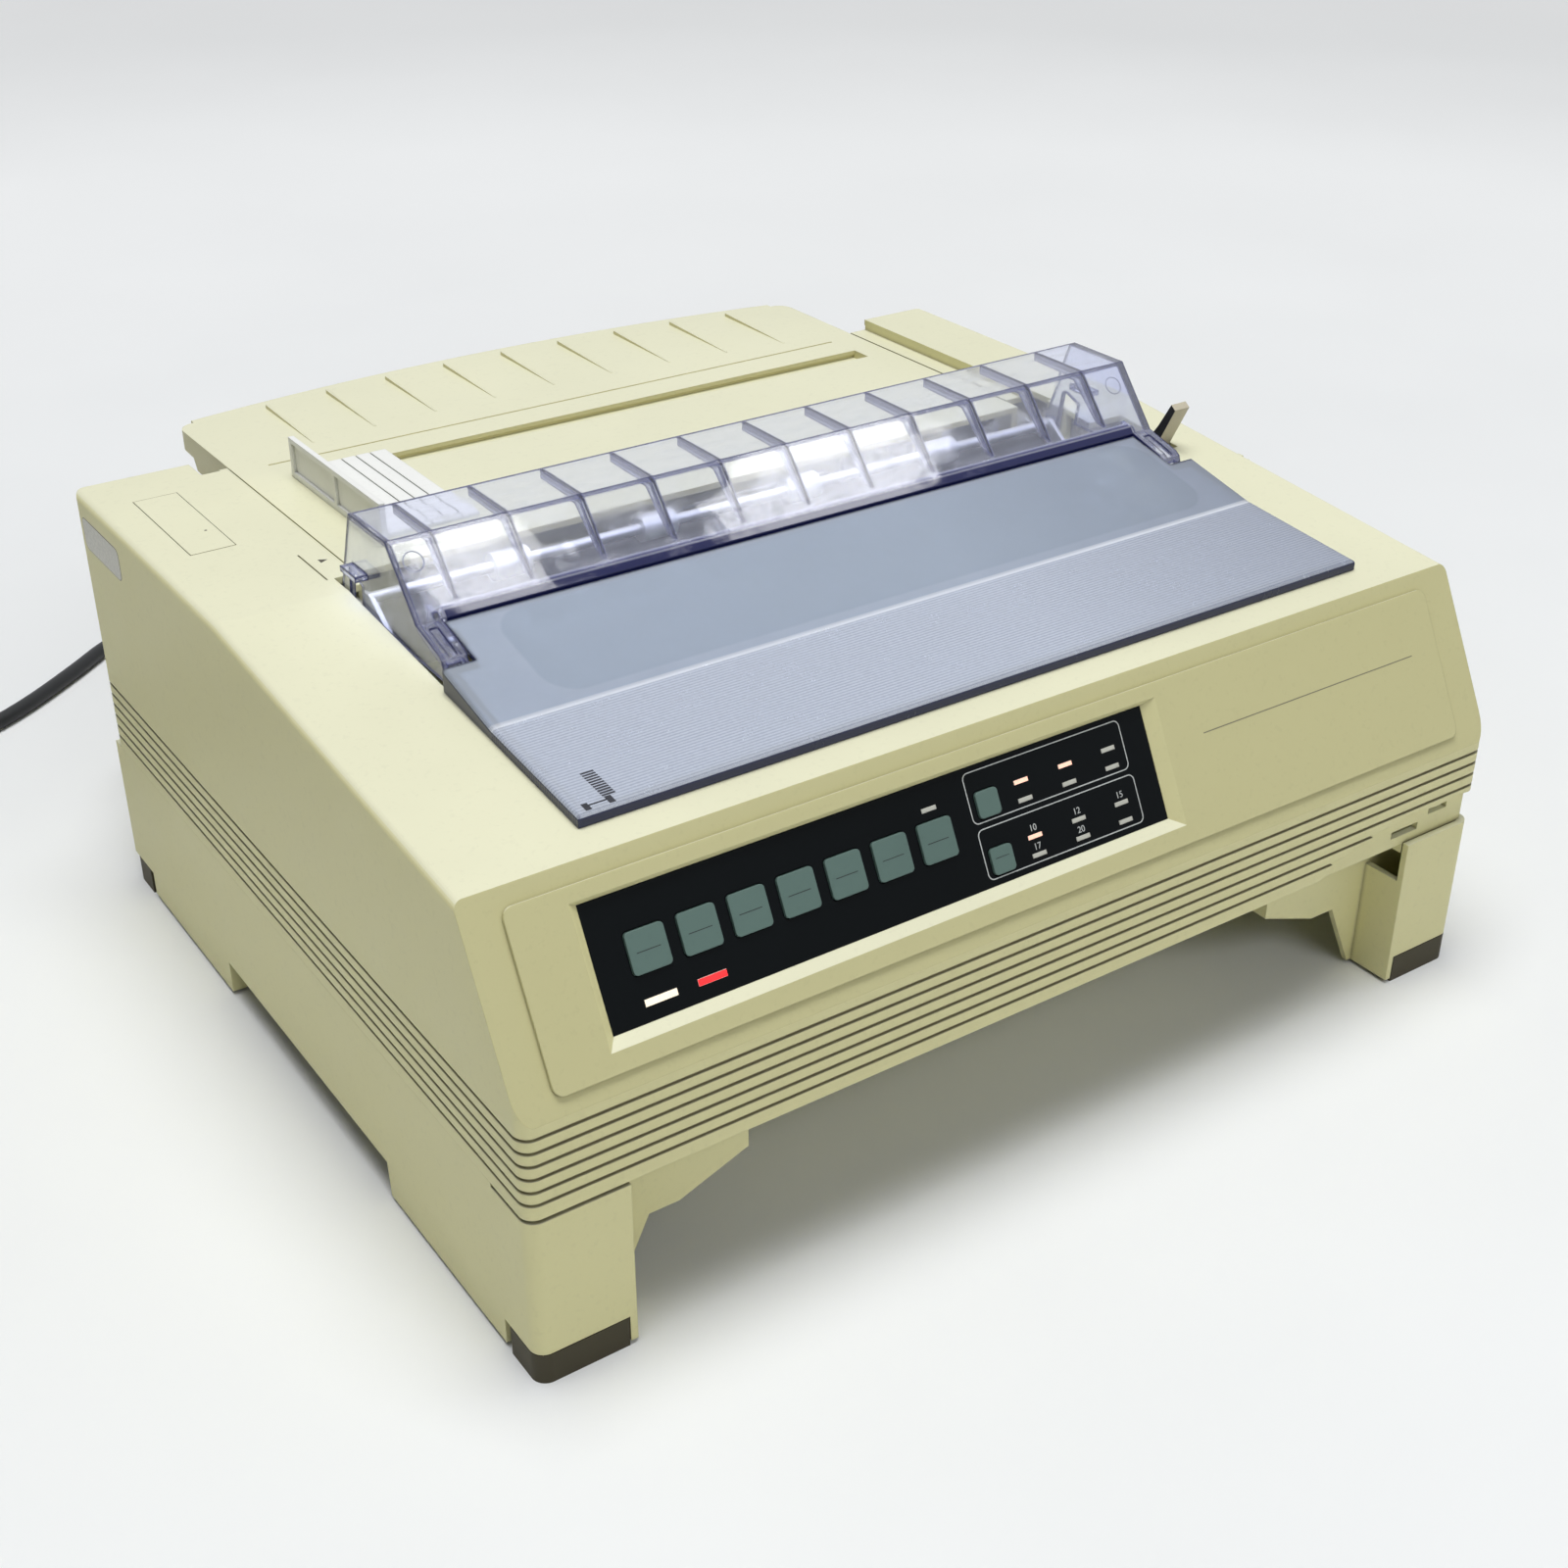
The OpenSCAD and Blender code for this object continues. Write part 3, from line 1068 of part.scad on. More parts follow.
module feed_knob() {
    color([0.85, 0.84, 0.73]) place() {
        gear(teeth_knob, train_angle - 180, gear_x, gear_x + gear_wide, knob_y, knob_z, 2);
        pin_x(gear_x, half + knob_gap + 2, knob_y, knob_z, 4.5);
        pin_x(frame_right - 1, gear_x + 1, knob_y, knob_z, 3);
        difference() {
            pin_x(half + knob_gap, half + knob_gap + knob_length, knob_y, knob_z, knob_diameter / 2);
            translate([half + knob_gap + knob_length, knob_y, knob_z]) rotate([0, 90, 0])
                translate([0, 0, -1.2]) cylinder(h = 3, r = knob_diameter / 2 - 3, $fn = 48);
            for (a = [0 : 20 : 340])
                translate([half + knob_gap - 1, knob_y + (knob_diameter / 2 + 0.8) * cos(a), knob_z + (knob_diameter / 2 + 0.8) * sin(a)])
                    rotate([0, 90, 0]) cylinder(h = knob_length + 2, r = 1.8, $fn = 16);
        }
    }
}

module step_gear() {
    color([0.90, 0.88, 0.80]) place()
        gear(teeth_step, step_angle - 180 + 180 / teeth_step, gear_x, gear_x + gear_wide,
            at_y(step_r, step_angle), at_z(step_r, step_angle), 3 + run_gap);
}

module motor_pinion() {
    color([0.78, 0.72, 0.52]) place()
        gear(teeth_pinion, pinion_angle - 180 + 180 / teeth_pinion, gear_x, gear_x + gear_wide,
            pinion_y, pinion_z, 1.5 + run_gap);
}

module feed_motor() {
    x = gear_x + gear_wide + 3;
    color([0.45, 0.46, 0.48]) place() {
        pin_x(x, x + 17, pinion_y, pinion_z, 18);
        pin_x(gear_x - 0.5, x + 1, pinion_y, pinion_z, 1.5);
    }
}

wheel_left = frame_left + 41;
wheel_right = frame_right - 41.5;

module tractor_shaft() {
    color([0.80, 0.81, 0.83]) place() {
        pin_x(frame_left - 1, gear_x + gear_wide + 1, tractor_y, tractor_z, 3);
        gear(teeth_tractor, step_angle - 180, gear_x, gear_x + gear_wide, tractor_y, tractor_z, 2.9);
        // pin wheels
        for (x = [wheel_left, wheel_right]) difference() {
            union() {
                pin_x(x - 3, x + 3, tractor_y, tractor_z, 11);
                for (a = [0 : 45 : 315])
                    translate([x, tractor_y, tractor_z]) rotate([a, 0, 0]) cylinder(h = 13, r = 1.5, $fn = 12);
            }
            pin_x(x - 4, x + 4, tractor_y, tractor_z, 2.9);
        }
    }
}

module tractor_body(x, s) {
    color([0.16, 0.17, 0.18]) place() difference() {
        union() {
            box(x + s * 5 - 2, x + s * 5 + 2, tractor_y - 14, tractor_y + 18, tractor_z - 12, tractor_z + 14);
            box(min(x + s * 5 - 2, x - 8), max(x + s * 5 + 2, x + 8), tractor_y + 14.5, tractor_y + 18, tractor_z - 12, tractor_z + 14);
        }
        pin_x(x - 20, x + 20, tractor_y, tractor_z, 3 + run_gap);
    }
}
module tractor_left() tractor_body(wheel_left, -1);
module tractor_right() tractor_body(wheel_right, 1);

module paper_bail() {
    color([0.76, 0.77, 0.79]) place() {
        pin_x(platen_left, platen_right, bail_rod_y, bail_rod_z, 2);
        for (x = [cover_mid - 96, cover_mid - 36, cover_mid + 28, cover_mid + 94])
            pin_x(x - 7, x + 7, bail_rod_y, bail_rod_z, 5);
        for (s = [-1, 1]) {
            x = s < 0 ? frame_left + frame_thick + 0.6 : frame_right - 2.2;
            along_x(x, x + 1.6) polygon([[bail_pivot_y - 4, bail_pivot_z - 2], [bail_pivot_y - 3, bail_pivot_z + 4],
                [bail_rod_y - 3, bail_rod_z + 3], [bail_rod_y + 3, bail_rod_z + 2], [bail_rod_y + 3, bail_rod_z - 3],
                [bail_pivot_y + 5, bail_pivot_z - 2]]);
            if (s < 0) pin_x(x - 2.4, x + 0.5, bail_pivot_y, bail_pivot_z, 2);
            else pin_x(x + 1, x + 4, bail_pivot_y, bail_pivot_z, 2);
        }
        pin_x(frame_left + frame_thick + 1, platen_left + 1, bail_rod_y, bail_rod_z, 2);
        pin_x(platen_right - 1, frame_right - 1, bail_rod_y, bail_rod_z, 2);
    }
}

// ---------------------------------------------------------------- electrics

module main_board() {
    z = pan_z + board_lift;
    color([0.10, 0.32, 0.20]) place() box(board_x1, board_x2, board_y1, board_y2, z, z + 1.6);
    color([0.12, 0.12, 0.12]) place() {
        for (y = [96, 120])
            box(board_x1 + 64, board_x1 + 116, y, y + 14, z + 1.6, z + 5.6);
        box(board_x2 - 74, board_x2 - 48, 100, 126, z + 1.6, z + 5);
        box(board_x2 - 64, board_x2 - 6, 220, 232, z + 1.6, z + 16);
        // heat sink
        for (i = [0 : 4])
            box(board_x1 + 14, board_x1 + 54, 228 + i * 7, 230 + i * 7, z + 3, z + 22);
        box(board_x1 + 14, board_x1 + 54, 228, 258, z + 1.6, z + 4);
    }
}

module power_supply() {
    x = 7 - half;
    y = case_depth - 101;
    color([0.60, 0.60, 0.60]) place() {
        // laminated core with two windings
        box(x, x + 42, y, y + 60, floor_top, floor_top + 34);
        box(x + 6, x + 36, y - 10, y + 70, floor_top + 6, floor_top + 28);
    }
}

module interface_socket() {
    color([0.72, 0.73, 0.75]) place() difference() {
        union() {
            box(socket_mid - 31, socket_mid + 31, case_depth - 14, case_depth + 4, socket_z - 7.5, socket_z + 7.5);
            box(socket_mid - 39, socket_mid + 39, case_depth - wall - 1.6, case_depth - wall, socket_z - 9.5, socket_z + 9.5);
        }
        box(socket_mid - 27, socket_mid + 27, case_depth - 4, case_depth + 5, socket_z - 4.5, socket_z + 4.5);
    }
}

module power_switch() {
    color([0.10, 0.10, 0.11]) place() {
        translate([0, switch_y, switch_z]) rotate([-7, 0, 0]) along_x(switch_x - 9, switch_x + 9) polygon([
            [-4, -2.5], [0, -5.6], [4.2, -5.6], [3.2, 0], [4.2, 5.6], [0, 5.6], [-4, 2.5]]);
        pin_x(switch_x - 10.5, switch_x + 10.5, switch_y, switch_z, 1.5);
    }
}

module switch_frame() {
    color([0.08, 0.08, 0.09]) place() difference() {
        union() {
            box(switch_x - switch_w + 0.1, switch_x + switch_w - 0.1, switch_y - 8, case_depth + 0.2,
                switch_z - switch_h + 0.1, switch_z + switch_h - 0.1);
            box(switch_x - switch_w - 1.5, switch_x + switch_w + 1.5, case_depth, case_depth + 1.3,
                switch_z - switch_h - 1.5, switch_z + switch_h + 1.5);
        }
        box(switch_x - 9.4, switch_x + 9.4, switch_y - 6, case_depth + 2, switch_z - 6.6, switch_z + 6.6);
        pin_x(switch_x - 10.8, switch_x + 10.8, switch_y, switch_z, 1.5 + run_gap);
    }
}

// ---------------------------------------------------------------- cord

cord_r = cord_diameter / 2;
// the cord is laid out from the point where it leaves the rear panel
module at_exit() {
    place() translate([cord_exit_x, case_depth, 0]) children();
}
coil_mid_x = -119;
coil_mid_y = 102;
coil_r = 39;
coil_pitch = 7.3;
coil_layer = cord_r + coil_pitch;

cord_path = [
    [0, 24, cord_exit_z], [0, 35, cord_exit_z - 1], [2, 47, 101], [5, 58, 93], [9, 69, 80], [14, 79, 64],
    [20, 89, 47], [27, 99, 31], [35, 108, 18], [45, 118, 9], [56, 126, 4.6], [68, 132, cord_r],
    [81, 139, cord_r], [91, 149, cord_r], [97, 162, cord_r], [98, 176, cord_r], [95, 189, cord_r],
    [87, 202, cord_r], [75, 211, cord_r], [62, 216, cord_r], [49, 217, cord_r], [37, 214, cord_r],
    [26, 208, cord_r], [9, 194, cord_r], [-16, 175, cord_r], [-37, 162, cord_r], [-57, 154, cord_r],
    [-78, 151, cord_r], [-100, 150.2, cord_r]];
tail_x = coil_mid_x - coil_r - 1.625 * coil_pitch;
tail_path = [[tail_x, coil_mid_y, coil_layer], [tail_x, coil_mid_y - 12, coil_layer],
    [tail_x, coil_mid_y - 24, coil_layer - 0.3], [tail_x, coil_mid_y - 36, coil_layer], [tail_x, coil_mid_y - 46, coil_layer]];

function unit(v) = v / norm(v);
module swept(pts, r, n) {
    last = len(pts) - 1;
    tang = [for (i = [0 : last]) unit(pts[min(i + 1, last)] - pts[max(i - 1, 0)])];
    side = [for (i = [0 : last]) let (t = tang[i]) unit(abs(t[2]) > 0.9 ? cross(t, [1, 0, 0]) : cross(t, [0, 0, 1]))];
    verts = [for (i = [0 : last]) let (b = cross(side[i], tang[i])) for (k = [0 : n - 1])
        pts[i] + r * cos(360 * k / n) * side[i] + r * sin(360 * k / n) * b];
    quads = [for (i = [0 : last - 1]) for (k = [0 : n - 1]) let (a = i * n + k, c = i * n + (k + 1) % n)
        [a, c, c + n, a + n]];
    polyhedron(points = verts, faces = concat([[for (k = [0 : n - 1]) n - 1 - k]], quads,
        [[for (k = [0 : n - 1]) last * n + k]]));
}

// fine points between the hand-set ones
function spline(p, i, t) = let (a = p[max(i - 1, 0)], b = p[i], c = p[i + 1], d = p[min(i + 2, len(p) - 1)])
    0.5 * (2 * b + (c - a) * t + (2 * a - 5 * b + 4 * c - d) * t * t + (3 * b - a - 3 * c + d) * t * t * t);
function fine(p) = concat([for (i = [0 : len(p) - 2]) for (t = [0, 0.5]) spline(p, i, t)], [p[len(p) - 1]]);

module power_cord() {
    color([0.06, 0.06, 0.06]) at_exit() swept(fine(cord_path), cord_r, 10);
}

module cord_gland() {
    color([0.06, 0.06, 0.06]) at_exit() translate([0, 0, cord_exit_z]) {
        translate([0, 3, 0]) rotate([90, 0, 0]) cylinder(h = 3, r = 9, $fn = 40);
        translate([0, 1, 0]) rotate([90, 0, 0]) cylinder(h = 6, r = gland_r, $fn = 40);
        translate([0, 24, 0]) rotate([90, 0, 0]) cylinder(h = 21.5, r1 = cord_r + 0.4, r2 = 6.2, $fn = 40);
    }
}

module cord_coil() {
    inner = coil_r - 1.75 * coil_pitch;
    outer = coil_r + 1.25 * coil_pitch;
    color([0.06, 0.06, 0.06]) at_exit() translate([coil_mid_x, coil_mid_y, 0])
        rotate_extrude($fn = 72) {
            translate([inner, 0]) square([outer - inner, coil_layer + cord_r]);
            translate([inner - cord_r, cord_r]) square([outer - inner + cord_diameter, coil_pitch]);
            for (x = [inner, outer], z = [cord_r, coil_layer])
                translate([x, z]) circle(cord_r, $fn = 16);
        }
}

module cord_tail() {
    color([0.06, 0.06, 0.06]) at_exit() swept(tail_path, cord_r, 10);
}

module cord_plug() {
    y = coil_mid_y - 46;
    z = coil_layer;
    color([0.06, 0.06, 0.06]) at_exit() translate([tail_x, y, z]) {
        // tapered relief
        rotate([90, 0, 0]) cylinder(h = 20, r1 = cord_r + 0.4, r2 = 6.5, $fn = 32);
        // moulded body, narrower at the back
        intersection() {
            translate([0, 0, -z]) linear_extrude(2 * z) polygon([[-8, -18], [8, -18], [13.5, -30], [13.5, -52],
                [-13.5, -52], [-13.5, -30]]);
            along_x(-20, 20) polygon([[-18, -7], [-30, -z], [-52, -z], [-52, z], [-30, z], [-18, 7]]);
        }
        // contacts
        for (x = [-6.35, 6.35])
            translate([x - 0.75, -69, -6]) cube([1.5, 18, 6.3]);
        translate([0, -51, 6]) rotate([90, 0, 0]) cylinder(h = 20, r = 2.4, $fn = 24);
    }
}

lower_case();
foot_front_left();
foot_front_right();
foot_rear_left();
foot_rear_right();
upper_case();
rear_panel();
knockout_cover();
control_panel();
led_windows();
key_1();
key_2();
key_3();
key_4();
key_5();
key_6();
key_7();
key_8();
key_9();
sheet_support();
sheet_guide();
top_cover();
front_plate();
release_lever();
base_pan();
left_frame();
right_frame();
carriage_rail();
carriage_guide();
carriage();
print_head();
ribbon_cartridge();
carriage_belt();
carriage_motor();
motor_pulley();
end_pulley();
platen();
platen_gear();
idler_gear();
feed_knob();
step_gear();
feed_motor();
motor_pinion();
tractor_shaft();
tractor_left();
tractor_right();
paper_bail();
main_board();
power_supply();
interface_socket();
power_switch();
switch_frame();
cord_gland();
power_cord();
cord_coil();
cord_tail();
cord_plug();
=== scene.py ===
"""Looks of a desktop dot matrix printer: materials, panel marks, cord, light and camera."""
import json
import math

import bmesh
import bpy
from mathutils import Matrix, Vector


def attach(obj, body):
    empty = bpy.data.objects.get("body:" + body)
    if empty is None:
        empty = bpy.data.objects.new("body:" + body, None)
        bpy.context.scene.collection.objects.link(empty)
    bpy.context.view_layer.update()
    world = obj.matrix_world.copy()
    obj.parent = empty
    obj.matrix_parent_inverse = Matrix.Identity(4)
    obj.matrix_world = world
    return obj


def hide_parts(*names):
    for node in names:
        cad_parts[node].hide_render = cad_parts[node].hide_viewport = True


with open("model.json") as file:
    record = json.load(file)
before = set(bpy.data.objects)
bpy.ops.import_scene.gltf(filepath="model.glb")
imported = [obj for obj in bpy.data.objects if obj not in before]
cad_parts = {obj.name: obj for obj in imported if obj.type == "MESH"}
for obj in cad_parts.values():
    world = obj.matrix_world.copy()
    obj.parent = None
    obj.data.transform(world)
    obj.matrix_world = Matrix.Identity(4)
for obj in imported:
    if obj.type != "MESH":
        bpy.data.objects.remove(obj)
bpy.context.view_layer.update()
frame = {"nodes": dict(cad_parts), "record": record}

MM = 0.001
# the frame's origin in the part's own millimetres, which count x from the middle of the case
# and y from its front face
MIDDLE = (7.0, 205.25)
# the slanted front face: the height where it starts, and its slope
SLANT_HEIGHT = 95.5
SLANT = math.atan2(59.0, 31.0)
# the sloping face of the top cover: a point of its foot, and its slope
FACE_FOOT = (7, 149, 177)
FACE = math.atan2(0.766, 0.644)
# the crease of the front plate, and the slope of deck and plate
CREASE_Y = 96.0
CREASE_Z = 164.46
DECK_SLOPE = 15.5 / 169.0


def place(x, y, z):
    """A point of the part's own millimetres, in the frame."""
    return Vector((x - MIDDLE[0], y - MIDDLE[1], z)) * MM


def on_slant(x, u, h):
    """A point of the slanted face: x across, u up the slant, h out of it."""
    y = u * math.cos(SLANT) - h * math.sin(SLANT)
    z = SLANT_HEIGHT + u * math.sin(SLANT) + h * math.cos(SLANT)
    return place(x, y, z)


# ------------------------------------------------------------------ camera

# solved from the photo: mm for sensor, lens and place, degrees down and to the right
SENSOR = 36.0
LENS = 48.01
CAMERA_AT = (-391.17, -408.93, 462.78)
CAMERA_DOWN = 29.932
CAMERA_RIGHT = 34.353


def make_camera():
    data = bpy.data.cameras.new("camera")
    data.sensor_width = SENSOR
    data.lens = LENS
    data.clip_start = 0.01
    cam = bpy.data.objects.new("camera", data)
    cam.location = place(*CAMERA_AT)
    cam.rotation_euler = (math.radians(90.0 - CAMERA_DOWN), 0.0, math.radians(-CAMERA_RIGHT))
    bpy.context.scene.collection.objects.link(cam)
    bpy.context.scene.camera = cam


# ------------------------------------------------------------------ materials

# inputs of a colour Mix node: factor, first and second colour
MIX_INPUTS = (0, 6, 7)
# rays spent on finding edges and grooves
SAMPLES = 6
# refraction of clear styrene
CLEAR_IOR = 1.46


def srgb(r, g, b):
    """A colour in picture values 0 to 255, as linear light."""
    return tuple((c / 255.0 / 12.92) if c <= 10 else ((c / 255.0 + 0.055) / 1.055) ** 2.4
                 for c in (r, g, b))


def shade(colour, factor):
    return tuple(c * factor for c in colour)


class Nodes:
    """A small helper round one material's node tree."""

    def __init__(self, name):
        self.mat = bpy.data.materials.new(name)
        self.mat.use_nodes = True
        self.tree = self.mat.node_tree
        self.tree.nodes.clear()
        self.out = self.add("ShaderNodeOutputMaterial")
        self.bsdf = self.add("ShaderNodeBsdfPrincipled")
        self.link(self.bsdf, "BSDF", self.out, "Surface")
        self.coords = self.add("ShaderNodeTexCoord")

    def add(self, kind, **values):
        node = self.tree.nodes.new(kind)
        for key, value in values.items():
            setattr(node, key, value)
        return node

    def link(self, a, out, b, into):
        self.tree.links.new(a.outputs[out], b.inputs[into])

    def feed(self, value, node, index):
        """Puts a (node, output) or a plain value into a socket."""
        if isinstance(value, tuple) and hasattr(value[0], "outputs"):
            self.tree.links.new(value[0].outputs[value[1]], node.inputs[index])
        else:
            node.inputs[index].default_value = value

    def noise(self, scale, detail=4.0, rough=0.6, stretch=(1, 1, 1)):
        mapping = self.add("ShaderNodeMapping")
        mapping.inputs["Scale"].default_value = stretch
        self.link(self.coords, "Object", mapping, "Vector")
        noise = self.add("ShaderNodeTexNoise")
        noise.inputs["Scale"].default_value = scale
        noise.inputs["Detail"].default_value = detail
        noise.inputs["Roughness"].default_value = rough
        self.link(mapping, "Vector", noise, "Vector")
        return noise

    def ramp(self, source, out, stops):
        ramp = self.add("ShaderNodeValToRGB")
        elements = ramp.color_ramp.elements
        while len(elements) < len(stops):
            elements.new(0.5)
        for element, (at, colour) in zip(elements, stops):
            element.position = at
            element.color = (*colour, 1.0)
        self.link(source, out, ramp, "Fac")
        return ramp

    def mix(self, factor, first, second, kind="MIX"):
        """Mixes two (node, output) colours or plain tuples by a (node, output) or a number."""
        mix = self.add("ShaderNodeMix", data_type="RGBA", blend_type=kind)
        for socket, value in zip(MIX_INPUTS, (factor, first, second)):
            if isinstance(value, tuple) and not hasattr(value[0], "outputs"):
                value = (*value, 1.0)
            self.feed(value, mix, socket)
        return mix, "Result"

    def math(self, operation, *values):
        node = self.add("ShaderNodeMath", operation=operation)
        for index, value in enumerate(values):
            self.feed(value, node, index)
        return node, "Value"

    def vector(self, operation, *values):
        node = self.add("ShaderNodeVectorMath", operation=operation)
        for index, value in enumerate(values):
            self.feed(value, node, index)
        return node, "Value" if operation in ("LENGTH", "DOT_PRODUCT") else "Vector"

    def spread(self, source, low, high, to_low=0.0, to_high=1.0):
        """Maps low to to_low and high to to_high, and holds beyond them."""
        node = self.add("ShaderNodeMapRange")
        for name, value in (("From Min", low), ("From Max", high),
                            ("To Min", to_low), ("To Max", to_high)):
            node.inputs[name].default_value = value
        self.feed(source, node, 0)
        return node, "Result"

    def axis(self, source, which):
        """One axis, X, Y or Z, of a (node, output) vector."""
        node = self.add("ShaderNodeSeparateXYZ")
        self.feed(source, node, 0)
        return node, which

    def along(self, which):
        """Where the surface is along an axis of its own piece, in metres."""
        return self.axis((self.coords, "Object"), which)

    def faces(self, which):
        """How far the surface faces along an axis of its own piece, from -1 to 1."""
        return self.axis((self.coords, "Normal"), which)

    def window(self, middle, half, radius, soft):
        """1 inside an upright box with round corners, 0 outside."""
        offset = self.vector("SUBTRACT", (self.coords, "Object"), tuple(middle))
        inner = tuple(h - radius for h in half)
        outside = self.vector("SUBTRACT", self.vector("ABSOLUTE", offset), inner)
        past = self.vector("MAXIMUM", outside, (0.0, 0.0, 0.0))
        return self.spread(self.vector("LENGTH", past), radius + soft, radius - soft)

    def crevices(self, distance):
        """0 on open surfaces, towards 1 in narrow grooves and corners."""
        node = self.add("ShaderNodeAmbientOcclusion", samples=SAMPLES)
        node.inputs["Distance"].default_value = distance
        return self.spread((node, "AO"), 0.75, 0.25)

    def soft_edges(self, radius):
        bevel = self.add("ShaderNodeBevel", samples=SAMPLES)
        bevel.inputs["Radius"].default_value = radius
        return bevel

    def near_edges(self, radius, none=0.985, full=0.90):
        """1 along the edges of the shape, 0 elsewhere."""
        bevel = self.soft_edges(radius)
        plain = self.add("ShaderNodeNewGeometry")
        turned = self.vector("DOT_PRODUCT", (bevel, "Normal"), (plain, "True Normal"))
        return self.spread(turned, none, full)

    def bump(self, source, out, strength, distance, edges):
        """Small relief over softened edges, put into the shader."""
        bump = self.add("ShaderNodeBump")
        bump.inputs["Strength"].default_value = strength
        bump.inputs["Distance"].default_value = distance
        self.link(source, out, bump, "Height")
        self.link(edges, "Normal", bump, "Normal")
        self.link(bump, "Normal", self.bsdf, "Normal")

    def roughness(self, source, out, low, high):
        scale = self.add("ShaderNodeMapRange")
        scale.inputs["To Min"].default_value = low
        scale.inputs["To Max"].default_value = high
        self.link(source, out, scale, "Value")
        self.link(scale, "Result", self.bsdf, "Roughness")

    def let_light_in(self, tint):
        """Lets lamps shine through a clear wall, dimmed by its tint."""
        through = self.add("ShaderNodeBsdfTransparent")
        through.inputs["Color"].default_value = (*tint, 1.0)
        choice = self.add("ShaderNodeMixShader")
        self.link(self.add("ShaderNodeLightPath"), "Is Shadow Ray", choice, "Fac")
        self.link(self.bsdf, "BSDF", choice, 1)
        self.link(through, "BSDF", choice, 2)
        self.link(choice, "Shader", self.out, "Surface")


def moulded(name, colour, rough=0.5, grain=0.00006, stain=0.06, groove_shade=None,
            upright_shade=None, left_shade=None, shine=0.4):
    """Moulded plastic with a fine grain, uneven ageing, painted shade in its grooves and small
    specks.

    The upright colour is painted shade on upright faces, and a darker painted shade on the
    slanted face; the side colour is painted shade on faces turned left.
    """
    n = Nodes(name)
    patches = n.noise(9.0, 3.0)
    base = n.ramp(patches, "Fac", [(0.35, shade(colour, 1.0 - stain)), (0.65, colour)]), "Color"
    # painted shade: upright faces take a darker colour than the top, the slanted face darker still
    if upright_shade:
        upright = n.spread(n.faces("Z"), 0.80, 0.50)
        base = n.mix(upright, base, upright_shade)
        off_slant = n.math("ABSOLUTE", n.math("SUBTRACT", n.faces("Z"), math.cos(SLANT)))
        slanted = n.spread(off_slant, 0.06, 0.03)
        base = n.mix(slanted, base, shade(upright_shade, 0.80))
    # painted shade: faces turned left take the given dark colour
    if left_shade:
        leftward = n.spread(n.faces("X"), -0.5, -0.8)
        base = n.mix(leftward, base, left_shade)
    specks = n.noise(420.0, 2.0)
    white = (1.0, 1.0, 1.0)
    speck = n.ramp(specks, "Fac", [(0.30, shade(white, 0.90)), (0.42, white)])
    base = n.mix(0.35, base, (speck, "Color"), "MULTIPLY")
    # painted shade: grooves and corners darken towards the given colour
    if groove_shade:
        base = n.mix(n.crevices(0.0028), base, groove_shade)
    n.link(*base, n.bsdf, "Base Color")
    n.roughness(n.noise(30.0, 4.0), "Fac", rough - 0.06, rough + 0.08)
    edges = n.soft_edges(0.0005)
    n.bump(n.noise(2600.0, 2.0), "Fac", 0.35, grain, edges)
    n.bsdf.inputs["Specular IOR Level"].default_value = shine
    return n.mat


def metal(name, colour, rough, brushed):
    """Plated or ground metal with fine drawn marks."""
    n = Nodes(name)
    marks = n.noise(300.0, 3.0, 0.6, brushed)
    base = n.ramp(marks, "Fac", [(0.3, shade(colour, 0.86)), (0.7, colour)])
    n.link(base, "Color", n.bsdf, "Base Color")
    n.bsdf.inputs["Metallic"].default_value = 1.0
    n.roughness(marks, "Fac", rough - 0.05, rough + 0.1)
    n.bump(marks, "Fac", 0.2, 0.00003, n.soft_edges(0.0003))
    return n.mat


# the clear cover in the frame, in metres: where its ribs stop beside its end walls, its top,
# the depth of a rib that reads dark, and the height of its foot
RIB_ENDS = (0.1475, 0.1465)
COVER_TOP = 0.199
RIB_DEPTH = (0.0046, 0.0038)
COVER_FOOT = (0.1796, 0.1788)
FOOT_DEPTH = (0.004, 0.003)


